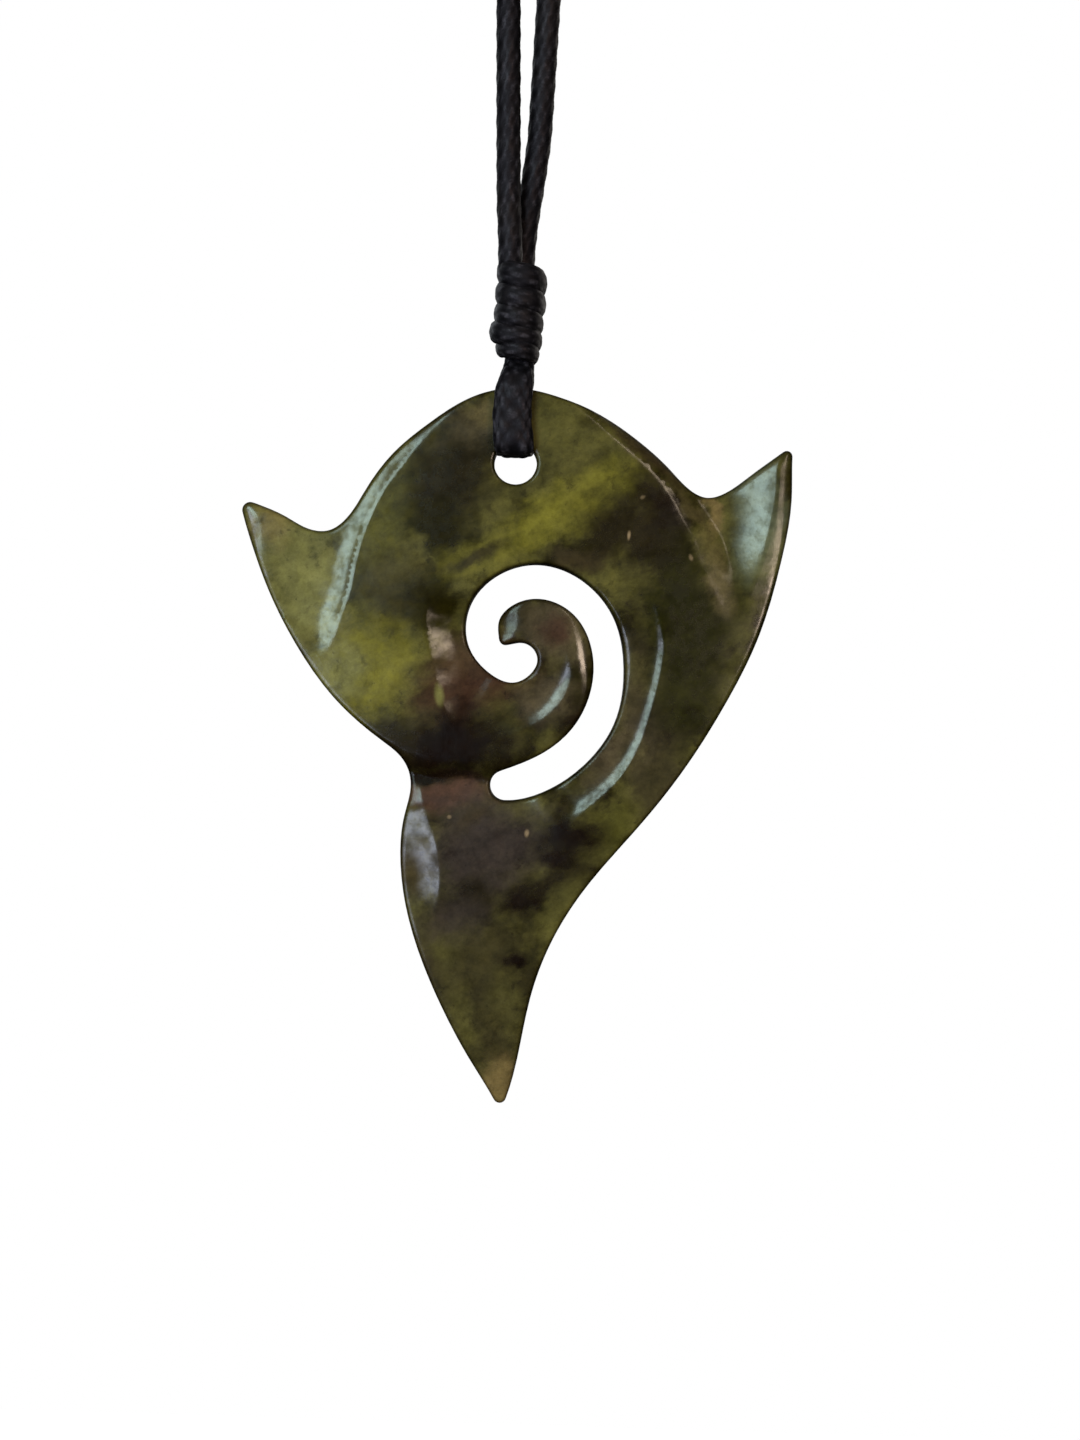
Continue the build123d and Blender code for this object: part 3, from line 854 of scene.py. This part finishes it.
def even_loop(loop, step):
    """The loop with its points a step apart, on a smooth curve through the given ones."""
    gaps = np.linalg.norm(np.roll(loop, -1, axis=0) - loop, axis=1)
    loop, gaps = loop[gaps > LEAST_GAP], gaps[gaps > LEAST_GAP]
    after = np.roll(loop, -1, axis=0)
    before = np.roll(loop, 1, axis=0)
    gaps_before = np.roll(gaps, 1)
    leaving = (after - loop) / gaps[:, None]
    coming = (loop - before) / gaps_before[:, None]
    total = gaps + gaps_before
    slope = (leaving * gaps_before[:, None] + coming * gaps[:, None]) / total[:, None]
    starts = np.concatenate([[0.0], np.cumsum(gaps)])
    count = max(LEAST_LOOP, round(starts[-1] / step))
    places = np.arange(count) * starts[-1] / count
    which = np.clip(np.searchsorted(starts, places, side="right") - 1, 0, len(loop) - 1)
    gap = gaps[which][:, None]
    share = (places - starts[which])[:, None] / gap
    following = (which + 1) % len(loop)
    return (
        (2 * share**3 - 3 * share**2 + 1) * loop[which]
        + (share**3 - 2 * share**2 + share) * gap * slope[which]
        + (3 * share**2 - 2 * share**3) * loop[following]
        + (share**3 - share**2) * gap * slope[following]
    )


def inward_ways(loop):
    """The unit ways from each point of a loop into the stone, which lies on the loop's left."""
    along = np.roll(loop, -1, axis=0) - np.roll(loop, 1, axis=0)
    along /= np.linalg.norm(along, axis=1)[:, None]
    return np.stack([-along[:, 1], along[:, 0]], axis=1)


def smooth(value):
    """A smooth step from 0 to 1."""
    value = np.clip(value, 0.0, 1.0)
    return value * value * (3 - 2 * value)


def with_ends(rows):
    """The rows with one more before the first and after the last, each as far on as its neighbour."""
    return np.vstack([2 * rows[0] - rows[1], rows, 2 * rows[-1] - rows[-2]])


def between(p0, p1, p2, p3, share):
    """The place at a share of the way from p1 to p2, on the smooth curve through all four."""
    return 0.5 * (
        2 * p1
        + (p2 - p0) * share
        + (2 * p0 - 5 * p1 + 4 * p2 - p3) * share**2
        + (3 * p1 - p0 - 3 * p2 + p3) * share**3
    )


def fine_line(points, step):
    """A line's points, about a step apart on a smooth curve."""
    points = np.array(points, float)
    padded = with_ends(points)
    fine = []
    for p0, p1, p2, p3 in zip(padded, padded[1:], padded[2:], padded[3:]):
        count = max(2, int(np.linalg.norm(p2 - p1) / step))
        fine += [between(p0, p1, p2, p3, share) for share in np.arange(count)[:, None] / count]
    return np.array([*fine, points[-1]])


def smooth_rows(rows, count):
    """Rows of numbers, with more of them on a smooth curve through the given ones."""
    padded = with_ends(rows)
    places = np.linspace(0, len(rows) - 1, count)
    which = np.minimum(places.astype(int), len(rows) - 2)
    return between(*(padded[which + k] for k in range(4)), (places - which)[:, None])


def beside(points, row):
    """Where along a row's line each point lies, as a share, and how far it is on the line's lower side."""
    line = fine_line(row["line"], LINE_STEP)
    gap = np.linalg.norm(np.gradient(line, axis=0), axis=1)
    along = np.gradient(line, axis=0) / gap[:, None]
    nearest = closest(points, line)[0]
    offset = points - line[nearest]
    way = along[nearest]
    share = (nearest + (offset * way).sum(axis=1) / gap[nearest]) / (len(line) - 1)
    side = (way[:, 0] * offset[:, 1] - way[:, 1] * offset[:, 0]) * row["side"]
    return share, side


def faded(share, row):
    """How strong a row is at each share of its line, and beyond an end at which it doesn't fade."""
    first, last = row["fades"]
    start = smooth(share / first) if first else smooth(1 + share / FADE_BEYOND)
    end = smooth((1 - share) / last) if last else smooth(1 - (share - 1) / FADE_BEYOND)
    return start * end


def spread(share, values):
    """Values that a row gives at even shares of its line, at some other shares."""
    return np.interp(share, np.linspace(0, 1, len(values)), values)


def slope_down(points, row):
    """Each point's share of the way along a crest, the slope's drop there and how far beside it is."""
    share, side = beside(points, row)
    width, drop, curve = (spread(share, row[key]) for key in ("width", "drop", "curve"))
    soft = row.get("soft", CREST_SOFT)
    side = (side + np.sqrt(side**2 + soft**2) - soft) / 2
    flatter = 1 - np.clip(side / width, 0.0, 1.0)
    return share, drop * (1 - flatter**curve), side


def crest_change(points, row):
    """How far the slope beside a crest takes the face down at each point."""
    share, down, side = slope_down(points, row)
    if "ends" in row:
        first, last = row["ends"]
        down = down * smooth((last - side) / (last - first))
    return faded(share, row) * down


def roll_change(points, row):
    """How far an edge that rolls over, and what lies beyond it, take the face down at each point."""
    share, side = beside(points, row)
    reach = row["reach"]
    lip = 0.0
    if "lip" in row:
        width, soft, fall = (spread(share, row[key]) for key in ("lip", "soft", "lip_fall"))
        lip = fall * np.clip(side + reach, 0.0, width)
        over = smooth((side + reach - width) / soft)
    else:
        over = np.clip((side + reach) / reach, 0.0, 1.0)
        over = (1 - np.sqrt(1 - (ROUND_END * over) ** 2)) / (1 - math.sqrt(1 - ROUND_END**2))
    if "scoop" in row:
        beyond = slope_down(points, row["scoop"])[1]
    else:
        beyond = spread(share, row["drop"])
        beyond = beyond - row["climb"] * (1 - np.exp(-np.maximum(side, 0.0) * row["rise"] / row["climb"]))
    return faded(share, row) * (lip + over * (beyond - lip))


def batches(points):
    """Slices of the points, a few thousand at a time."""
    return [slice(first, first + BATCH) for first in range(0, len(points), BATCH)]


def closest(points, others):
    """For each point, which of the others is nearest and how far away."""
    nearest, away = [], []
    for batch in batches(points):
        gaps = np.linalg.norm(points[batch, None] - others[None], axis=2)
        nearest.append(gaps.argmin(axis=1))
        away.append(gaps.min(axis=1))
    return np.concatenate(nearest), np.concatenate(away)


def edge_change(points, rim, broad):
    """How far the polished edge takes a face down at each point. broad is true for the front."""
    width = np.full(len(rim), PLAIN_EDGE[0])
    drop = np.full(len(rim), PLAIN_EDGE[1])
    for _, middle, reach, own_width, own_drop in BROAD_EDGES if broad else ():
        near = np.exp(-((np.linalg.norm(rim - middle, axis=1) / reach) ** 2) * BROAD_FALL)
        width += near * (own_width - PLAIN_EDGE[0])
        drop += near * (own_drop - PLAIN_EDGE[1])
    down = []
    for batch in batches(points):
        gaps = np.linalg.norm(points[batch, None] - rim[None], axis=2)
        within = np.clip(1 - gaps / width, 0.0, 1.0)
        down.append((drop * within**2).max(axis=1))
    return np.concatenate(down)


def face_heights(points, rim, away, settings, front):
    """Half thickness of the stone at each point, in millimetres, on its front or back."""
    x, z = points[:, 0] - DOME_MIDDLE[0], points[:, 1] - DOME_MIDDLE[1]
    dome = np.sqrt(DOME_RADIUS**2 - x**2 - z**2) - DOME_RADIUS + STONE_HALF
    down = edge_change(points, rim, front)
    if front:
        for row in CRESTS:
            down += crest_change(points, row)
        for row in ROLLS:
            down += roll_change(points, row)
    layer = -WAVE_LAYER if front else WAVE_LAYER
    wave = np.array([noise.noise((px * WAVE_SCALE, layer, pz * WAVE_SCALE)) for px, pz in points])
    down -= wave * settings.waviness / MM
    down = np.minimum(down, dome - LEAST_HALF)
    radius = (settings.edge_radius if front else settings.back_radius) / MM
    short = np.clip(radius - away, 0.0, radius)
    rounding = radius - np.sqrt(np.maximum(radius**2 - short**2, 0.0))
    return dome - down - rounding


def beside_rows(row, offsets):
    """Rows of points along a line, at some distances towards its lower side."""
    line = fine_line(row["line"], ROW_STEP)
    along = np.gradient(line, axis=0)
    along /= np.linalg.norm(along, axis=1)[:, None]
    lower = np.stack([-along[:, 1], along[:, 0]], axis=1) * row["side"]
    return [line + lower * offset for offset in offsets]


def thin_out(groups):
    """The groups' points in one list, without those that lie almost on an earlier one."""
    kept = []
    taken = set()
    for x, z in (point for group in groups for point in group):
        cell = (round(x / LEAST_APART), round(z / LEAST_APART))
        if not any((cell[0] + i, cell[1] + j) in taken for i in (-1, 0, 1) for j in (-1, 0, 1)):
            taken.add(cell)
            kept.append((x, z))
    return np.array(kept)


def in_stone(points, loops):
    """Which points lie in the stone: a line to the right crosses its outlines an odd number of times."""
    odd = np.zeros(len(points), bool)
    for loop in loops:
        ax, az = loop[:, 0], loop[:, 1]
        bx, bz = np.roll(ax, -1), np.roll(az, -1)
        for batch in batches(points):
            x, z = points[batch, 0, None], points[batch, 1, None]
            spans = (az > z) != (bz > z)
            with np.errstate(divide="ignore", invalid="ignore"):
                crossing = ax + (z - az) * (bx - ax) / (bz - az)
            odd[batch] ^= (np.sum(spans & (x < crossing), axis=1) % 2).astype(bool)
    return odd


def well_inside(points, loops, rim, margin):
    """The points that lie in the stone, at least the margin from its outlines."""
    found = points[in_stone(points, loops)]
    return found[closest(found, rim)[1] > margin]


def face_points(loops, settings):
    """Points of the faces, outlines first, then rings, rows and a grid, and how many the outlines have."""
    rim = np.vstack(loops)
    ways = np.vstack([inward_ways(loop) for loop in loops])
    radius = settings.edge_radius / MM
    chosen = [rim]
    for share in RING_SHARES:
        depth = share * radius
        ring = (rim + ways * depth)[:: 1 if share < 1.0 else 2]
        chosen.append(ring[closest(ring, rim)[1] > RING_CLEAR * depth])
    rows = []
    for row in ROLLS:
        rows += beside_rows(row, [row["reach"] * share for share in ROLL_ROWS])
        if "scoop" in row:
            rows += beside_rows(row["scoop"], SCOOP_ROWS)
    for row in CRESTS:
        rows += beside_rows(row, CREST_ROWS)
    low, high = rim.min(axis=0), rim.max(axis=0)
    step = settings.face_step / MM
    across = np.arange(low[0], high[0], step)
    up = np.arange(low[1], high[1], step * math.sqrt(3) / 2)
    grid = np.array([(x + (number % 2) * step / 2, z) for number, z in enumerate(up) for x in across])
    ringed = RING_SHARES[-1] * radius
    extra = well_inside(np.vstack(rows), loops, rim, ringed + ROW_MARGIN)
    grid = well_inside(grid, loops, rim, ringed + GRID_MARGIN)
    grid = grid[closest(grid, extra)[1] > 0.5 * step]
    return np.vstack([*chosen, thin_out([extra, grid])]), len(rim)


def flat_triangles(points, edges, loops):
    """Triangles between the points, with the stone's outlines as edges, all turned the same way."""
    made = geometry.delaunay_2d_cdt([Vector(point) for point in points], edges, [], 0, DELAUNAY_ERROR)
    if len(made[0]) != len(points):
        raise RuntimeError("the outline of the stone crosses itself")
    places = np.array([point[:] for point in made[0]])
    triangles = np.array([face for face in made[2]])
    triangles = triangles[in_stone(places[triangles].mean(axis=1), loops)]
    corner = places[triangles]
    one, other = corner[:, 1] - corner[:, 0], corner[:, 2] - corner[:, 0]
    wrong = one[:, 0] * other[:, 1] - one[:, 1] * other[:, 0] < 0
    triangles[wrong] = triangles[wrong][:, ::-1]
    return places, triangles


def stone_mesh(settings):
    """The stone as one closed mesh, with its relief on the front."""
    step = settings.outline_step / MM
    outlines = enumerate(outline_loops(STONE_NODE))
    loops = [even_loop(turned_loop(loop, number == 0), step) for number, loop in outlines]
    points, rim_count = face_points(loops, settings)
    rim = points[:rim_count]
    edges = []
    start = 0
    for loop in loops:
        count = len(loop)
        edges += [(start + k, start + (k + 1) % count) for k in range(count)]
        start += count
    places, triangles = flat_triangles(points, edges, loops)
    away = closest(places, rim)[1]
    away[:rim_count] = 0.0
    front = face_heights(places, rim, away, settings, True)
    back = face_heights(places, rim, away, settings, False)
    total = len(places)
    x = places[:, 0] * MM
    z = places[:, 1] * MM + HOLE_HEIGHT
    wall_x, wall_z = x[:rim_count], z[:rim_count]
    verts = np.vstack([
        np.stack([x, -front * MM, z], axis=1),
        np.stack([x, back * MM, z], axis=1),
        np.stack([wall_x, (RIM_REACH - front[:rim_count]) * MM, wall_z], axis=1),
        np.stack([wall_x, (back[:rim_count] - RIM_REACH) * MM, wall_z], axis=1),
    ])
    faces = [tuple(int(i) for i in face) for face in triangles]
    faces += [tuple(int(i) + total for i in face[::-1]) for face in triangles]
    rings = (0, 2 * total, 2 * total + rim_count, total)
    for a, b in edges:
        faces += [(first + b, first + a, after + a, after + b) for first, after in zip(rings, rings[1:])]
    mesh = bpy.data.meshes.new("koru_stone")
    mesh.from_pydata(verts.tolist(), [], faces)
    mesh.polygons.foreach_set("use_smooth", [True] * len(faces))
    near = np.clip(1 - away / RIM_REACH, 0.0, 1.0)
    shares = np.concatenate([near, near, np.zeros(2 * rim_count)])
    mesh.attributes.new("rim", "FLOAT", "POINT").data.foreach_set("value", shares.astype(np.float32))
    mesh.update()
    if mesh.validate():
        raise RuntimeError("the stone's mesh has faults")
    return mesh


# The cord's meshes


def braid_tree(name, settings, around, step, twisted, material):
    """A node tree that turns a line with its half sizes into a braided cord along it."""
    tree = bpy.data.node_groups.new(name, "GeometryNodeTree")
    inputs = [
        ("Geometry", "NodeSocketGeometry", None),
        ("Across", "NodeSocketVector", (0.0, 1.0, 0.0)),
        ("Strands", "NodeSocketFloat", float(settings.strands)),
        ("Cell length", "NodeSocketFloat", settings.cell),
        ("Relief", "NodeSocketFloat", settings.relief),
        ("Step", "NodeSocketFloat", step),
        ("Points around", "NodeSocketInt", around),
        ("Twist", "NodeSocketFloat", float(twisted)),
        ("Squareness", "NodeSocketFloat", 1.0),
    ]
    for label, kind, value in inputs:
        socket = tree.interface.new_socket(label, in_out="INPUT", socket_type=kind)
        if value is not None:
            socket.default_value = value
    tree.interface.new_socket("Geometry", in_out="OUTPUT", socket_type="NodeSocketGeometry")
    graph = Graph(tree)
    given = graph.node("NodeGroupInput").output

    def wave(value):
        """1 on a strand's middle and -1 halfway to the next."""
        return (value * math.pi).math("COSINE")

    def squared(value):
        """A sine or cosine, moved out or in by the squareness of the cord's section."""
        return value.math("ABSOLUTE").math("POWER", given("Squareness")) * value.math("SIGN")

    curve = graph.node("GeometryNodeMeshToCurve", None, {"Mesh": given("Geometry")})
    sockets = {"Curve": curve, "Length": given("Step")}
    curve = graph.node("GeometryNodeResampleCurve", {"mode": "LENGTH"}, sockets)
    along = graph.node("GeometryNodeSplineParameter", None, None, "Length")
    curve = graph.store(curve, "along", "FLOAT", along)
    curve = graph.store(curve, "middle", "FLOAT_VECTOR", graph.node("GeometryNodeInputPosition"))
    curve = graph.store(curve, "heading", "FLOAT_VECTOR", graph.node("GeometryNodeInputTangent"))
    sockets = {"Resolution": given("Points around"), "Radius": MM}
    ring = graph.node("GeometryNodeCurvePrimitiveCircle", {"mode": "RADIUS"}, sockets)
    turn = graph.node("GeometryNodeInputIndex") / given("Points around")
    ring = graph.store(ring, "turn", "FLOAT", turn)
    sockets = {"Curve": curve, "Profile Curve": ring, "Fill Caps": True}
    mesh = graph.node("GeometryNodeCurveToMesh", None, sockets)

    strands = given("Strands")
    cells = graph.read("along") / given("Cell length")
    round_turn = graph.read("turn") + given("Twist") * cells / strands
    angle = round_turn * (2 * math.pi)
    one_way = round_turn * strands - cells
    other_way = round_turn * strands + cells
    one_number = one_way.math("ROUND")
    other_number = other_way.math("ROUND")
    one_top = wave(one_way - one_number) + wave(other_way + one_number) * CROSSING_LIFT
    other_top = wave(other_way - other_number) - wave(one_way + other_number) * CROSSING_LIFT
    weave = (one_top.math("MAXIMUM", other_top) - WEAVE_LOWEST) / WEAVE_SPAN
    mesh = graph.store(mesh, "weave", "FLOAT", weave)

    swell = (graph.read("weave") - 1.0) * given("Relief")
    wide = squared(angle.math("COSINE")) * (graph.read("half_width") + swell)
    deep = squared(angle.math("SINE")) * (graph.read("half_thickness") + swell)
    heading = graph.read("heading", "FLOAT_VECTOR")
    outward = graph.vector("NORMALIZE", graph.vector("CROSS_PRODUCT", heading, given("Across")))
    sideways = graph.vector("CROSS_PRODUCT", outward, heading)
    place = graph.vector("ADD", graph.vector("SCALE", sideways, wide), graph.vector("SCALE", outward, deep))
    place = graph.vector("ADD", graph.read("middle", "FLOAT_VECTOR"), place)
    mesh = graph.node("GeometryNodeSetPosition", None, {"Geometry": mesh, "Position": place})
    for used in ("along", "middle", "heading", "turn", "half_width", "half_thickness"):
        mesh = graph.node("GeometryNodeRemoveAttribute", None, {"Geometry": mesh, "Name": used})
    mesh = graph.node("GeometryNodeSetShadeSmooth", None, {"Geometry": mesh, "Shade Smooth": True})
    mesh = graph.node("GeometryNodeRealizeInstances", None, {"Geometry": mesh})
    mesh = graph.node("GeometryNodeSetMaterial", None, {"Geometry": mesh, "Material": material})
    graph.node("NodeGroupOutput", None, {"Geometry": mesh})
    return tree


def line_object(name, points, half_width, half_thickness):
    """A line of edges with the cord's half sizes on its points."""
    mesh = bpy.data.meshes.new(name)
    mesh.from_pydata(np.asarray(points).tolist(), [(k, k + 1) for k in range(len(points) - 1)], [])
    for label, values in (("half_width", half_width), ("half_thickness", half_thickness)):
        attribute = mesh.attributes.new(label, "FLOAT", "POINT")
        attribute.data.foreach_set("value", np.broadcast_to(values, len(points)).astype(np.float32))
    line = bpy.data.objects.new(name, mesh)
    bpy.context.scene.collection.objects.link(line)
    return line


def plain_mesh(holder):
    """The mesh that comes out of an object once it is evaluated. The object goes."""
    graph = bpy.context.evaluated_depsgraph_get()
    mesh = bpy.data.meshes.new_from_object(holder.evaluated_get(graph), depsgraph=graph)
    bpy.data.objects.remove(holder)
    return mesh


def route_points(route):
    """Points along the smooth curve that a route controls."""
    curve = bpy.data.curves.new("route", "CURVE")
    curve.dimensions = "3D"
    curve.resolution_u = ROUTE_POINTS
    spline = curve.splines.new("NURBS")
    spline.points.add(len(route) - 1)
    for point, place in zip(spline.points, route):
        point.co = (*place, 1.0)
    spline.order_u = 3
    spline.use_endpoint_u = True
    holder = bpy.data.objects.new("route", curve)
    bpy.context.scene.collection.objects.link(holder)
    return np.array([vertex.co[:] for vertex in plain_mesh(holder).vertices])


def add_piece(name, mesh, material, body, node):
    """Shows a mesh as the piece that stands for a CAD node."""
    piece = bpy.data.objects.new(name, mesh)
    bpy.context.scene.collection.objects.link(piece)
    if not mesh.materials:
        mesh.materials.append(material)
    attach(piece, body)
    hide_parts(node)
    return piece


def add_cord(name, node, line, weave, **values):
    """Braids a cord along a line and shows it as the piece that stands for a CAD node.

    weave gives the name of its node tree, the points around, the step along and whether the strands twist.
    """
    settings = bpy.context.scene.koru_cord
    material = bpy.data.materials.get(CORD_MATERIAL) or cord_material(settings)
    label, around, step, twisted = weave
    tree = braid_tree(label, settings, around, step, twisted, material)
    modifier = line.modifiers.new("Braid", "NODES")
    modifier.node_group = tree
    for item in tree.interface.items_tree:
        if item.in_out == "INPUT" and item.name in values:
            modifier[item.identifier] = values[item.name]
    mesh = plain_mesh(line)
    mesh.name = name
    work = bmesh.new()
    work.from_mesh(mesh)
    bmesh.ops.recalc_face_normals(work, faces=work.faces)
    work.to_mesh(mesh)
    work.free()
    add_piece(name, mesh, material, "cord", node)


class KORU_OT_studio(bpy.types.Operator):
    """Adds the camera, the lights, the pale floor and the room"""

    bl_idname = "koru.studio"
    bl_label = "Add the studio"

    def execute(self, context):
        settings = context.scene.koru_stage
        scene = context.scene
        scene.view_settings.view_transform = "Standard"
        self.add_camera(scene, settings)
        for name, angles, distance, size, setting, share, colour in LIGHTS:
            self.add_light(scene, name, angles, distance, size, getattr(settings, setting) * share, colour)
        self.add_floor(scene)
        self.set_room(scene, settings)
        return {"FINISHED"}

    @staticmethod
    def add_camera(scene, settings):
        """A camera in front of the stone, level with its middle and turned by the roll."""
        data = bpy.data.cameras.new("camera")
        data.lens = data.sensor_width * settings.camera_distance / settings.view_height
        data.clip_start, data.clip_end = CAMERA_CLIP
        camera = bpy.data.objects.new("camera", data)
        scene.collection.objects.link(camera)
        aim = Vector((AIM_RIGHT, 0.0, HOLE_HEIGHT - AIM_DROP))
        camera.matrix_world = (
            Matrix.Translation(aim - Vector((0.0, settings.camera_distance, 0.0)))
            @ Matrix.Rotation(-settings.roll, 4, "Y")
            @ Matrix.Rotation(math.radians(90.0), 4, "X")
        )
        scene.camera = camera

    @staticmethod
    def add_light(scene, name, angles, distance, size, power, colour):
        """A soft light on the stone, at some angles to the right of the camera and up, in degrees."""
        data = bpy.data.lights.new(name, "AREA")
        data.shape = "RECTANGLE"
        data.size, data.size_y = size
        data.energy = power
        data.color = colour
        light = bpy.data.objects.new(name, data)
        scene.collection.objects.link(light)
        turn, up = (math.radians(angle) for angle in angles)
        away = Vector((math.sin(turn) * math.cos(up), -math.cos(turn) * math.cos(up), math.sin(up)))
        light.location = Vector((LIT_RIGHT, 0.0, HOLE_HEIGHT - LIT_DROP)) + away * distance
        light.rotation_euler = (-away).to_track_quat("-Z", "Y").to_euler()
        light.visible_camera = False

    @staticmethod
    def add_floor(scene):
        """A white floor far below, which neither lights the stone nor shows in its polish."""
        material = new_material("Pale floor", FLOOR_SHADER)[0]
        mesh = bpy.data.meshes.new("floor")
        ways = ((-1, -1), (1, -1), (1, 1), (-1, 1))
        corners = [(x * FLOOR_HALF, y * FLOOR_HALF, FLOOR_HEIGHT) for x, y in ways]
        mesh.from_pydata(corners, [], [(0, 1, 2, 3)])
        mesh.materials.append(material)
        floor = bpy.data.objects.new("floor", mesh)
        scene.collection.objects.link(floor)
        floor.visible_diffuse = False
        floor.visible_glossy = False

    @staticmethod
    def set_room(scene, settings):
        """A room that is white behind the stone, warm and dim as light on it, and dark in its polish."""
        world = bpy.data.worlds.new("Room")
        scene.world = world
        world.use_nodes = True
        world.node_tree.nodes.clear()
        graph = Graph(world.node_tree)
        seen = graph.node("ShaderNodeLightPath", None, None, "Is Camera Ray")
        warm = tuple(settings.surround * share for share in ROOM_TINT)
        room = graph.mix(seen.output("Is Glossy Ray"), warm, (settings.mirrored,) * 3)
        room = graph.mix(seen, room, (1.0, 1.0, 1.0))
        background = graph.node("ShaderNodeBackground", None, {"Color": room, "Strength": 1.0})
        graph.node("ShaderNodeOutputWorld", None, {"Surface": background})


class KORU_OT_neck_cord(bpy.types.Operator):
    """Adds the braided cord loop from the knot over the peg and back"""

    bl_idname = "koru.neck_cord"
    bl_label = "Add the neck cord"

    def execute(self, context):
        settings = context.scene.koru_cord
        half = settings.diameter / 2
        line = line_object("neck line", route_points(NECK_ROUTE), half, half)
        around = settings.strands * STRAND_POINTS
        weave = ("Braided round cord", around, settings.cell / (2 * STRAND_POINTS), True)
        add_cord("neck_cord_braid", NECK_NODE, line, weave, Across=(0.0, 1.0, 0.0))
        return {"FINISHED"}


class KORU_OT_knot(bpy.types.Operator):
    """Adds the turns of cord that bind the two strands"""

    bl_idname = "koru.knot"
    bl_label = "Add the knot"

    def execute(self, context):
        rows = np.array(KNOT_TURNS)
        turns = len(rows)
        turned = np.linspace(0.0, turns, TURN_POINTS * turns + 1)
        padded = np.vstack([rows[0], rows, rows[-1]])
        padded[(0, -1), 0] += (rows[0, 0] - rows[1, 0], rows[-1, 0] - rows[-2, 0])
        places = np.arange(-1, turns + 1)
        height, left, right, tall = (np.interp(turned - 0.5, places, column) for column in padded.T)
        angle = -2 * math.pi * turned
        tuck = smooth(turned / TUCK_SPANS[0]) * smooth((turns - turned) / TUCK_SPANS[1])
        out = TUCKED_SHARE + TUCK_TRAVEL * tuck
        half_x = ((right - left) / 2 - TURN_THICKNESS / 2) * out
        half_y = (KNOT_DEPTH / 2 - TURN_THICKNESS / 2) * out
        ways = (np.sin(angle), np.cos(angle))
        across, depth = (np.sign(way) * np.abs(way) ** TURN_ROUNDNESS for way in ways)
        points = np.stack([(left + right) / 2 + half_x * across, half_y * depth, height], axis=1) * MM
        points[:, 2] += HOLE_HEIGHT
        line = line_object("knot line", points, tall / 2 * MM, TURN_THICKNESS / 2 * MM)
        weave = ("Braided turns", KNOT_AROUND, KNOT_STEP, False)
        add_cord("knot_turns", KNOT_NODE, line, weave, Across=(0.0, 0.0, 1.0), Relief=KNOT_RELIEF)
        return {"FINISHED"}


class KORU_OT_bail(bpy.types.Operator):
    """Adds the flattened cord that goes from the knot through the stone's hole and back"""

    bl_idname = "koru.bail"
    bl_label = "Add the bail cord"

    def execute(self, context):
        front = np.array(BAIL_ROWS)
        back = front[::-1].copy()
        back[:, 2] *= -1
        rows = smooth_rows(np.vstack([front, back]), BAIL_POINTS)
        points = np.stack([rows[:, 1], -rows[:, 2], rows[:, 0]], axis=1) * MM
        points[:, 2] += HOLE_HEIGHT
        line = line_object("bail line", points, rows[:, 3] * MM, rows[:, 4] * MM)
        weave = ("Braided flat cord", BAIL_AROUND, BAIL_STEP, False)
        add_cord("bail_braid", BAIL_NODE, line, weave, Across=(1.0, 0.0, 0.0), Squareness=BAIL_SQUARENESS)
        return {"FINISHED"}


class KORU_OT_stone(bpy.types.Operator):
    """Adds the carved and polished stone"""

    bl_idname = "koru.stone"
    bl_label = "Add the stone"

    def execute(self, context):
        settings = context.scene.koru_stone
        mesh = stone_mesh(settings)
        add_piece("koru_stone", mesh, stone_material(settings), "pendant", STONE_NODE)
        return {"FINISHED"}


OPERATORS = (KORU_OT_studio, KORU_OT_neck_cord, KORU_OT_knot, KORU_OT_bail, KORU_OT_stone)


class KORU_PT_panel(bpy.types.Panel):
    """Lists the pieces and their settings"""

    bl_idname = "KORU_PT_panel"
    bl_label = "Koru pendant"
    bl_space_type = "VIEW_3D"
    bl_region_type = "UI"
    bl_category = "Koru pendant"

    def draw(self, context):
        scene = context.scene
        for group in (scene.koru_stone, scene.koru_cord, scene.koru_stage):
            box = self.layout.box()
            for name in type(group).__annotations__:
                box.prop(group, name)
        for operator in OPERATORS:
            self.layout.operator(operator.bl_idname)


CLASSES = (StoneSettings, CordSettings, StageSettings, *OPERATORS, KORU_PT_panel)


def register():
    """Registers the settings, the operators and the panel."""
    for cls in CLASSES:
        bpy.utils.register_class(cls)
    bpy.types.Scene.koru_stone = bpy.props.PointerProperty(type=StoneSettings)
    bpy.types.Scene.koru_cord = bpy.props.PointerProperty(type=CordSettings)
    bpy.types.Scene.koru_stage = bpy.props.PointerProperty(type=StageSettings)


def unregister():
    """Takes away what register added."""
    del bpy.types.Scene.koru_stage
    del bpy.types.Scene.koru_cord
    del bpy.types.Scene.koru_stone
    for cls in reversed(CLASSES):
        bpy.utils.unregister_class(cls)


def main():
    """Builds the pieces in order."""
    register()
    bpy.ops.koru.studio()
    bpy.ops.koru.neck_cord()
    bpy.ops.koru.knot()
    bpy.ops.koru.bail()
    bpy.ops.koru.stone()


if __name__ == "__main__":
    main()
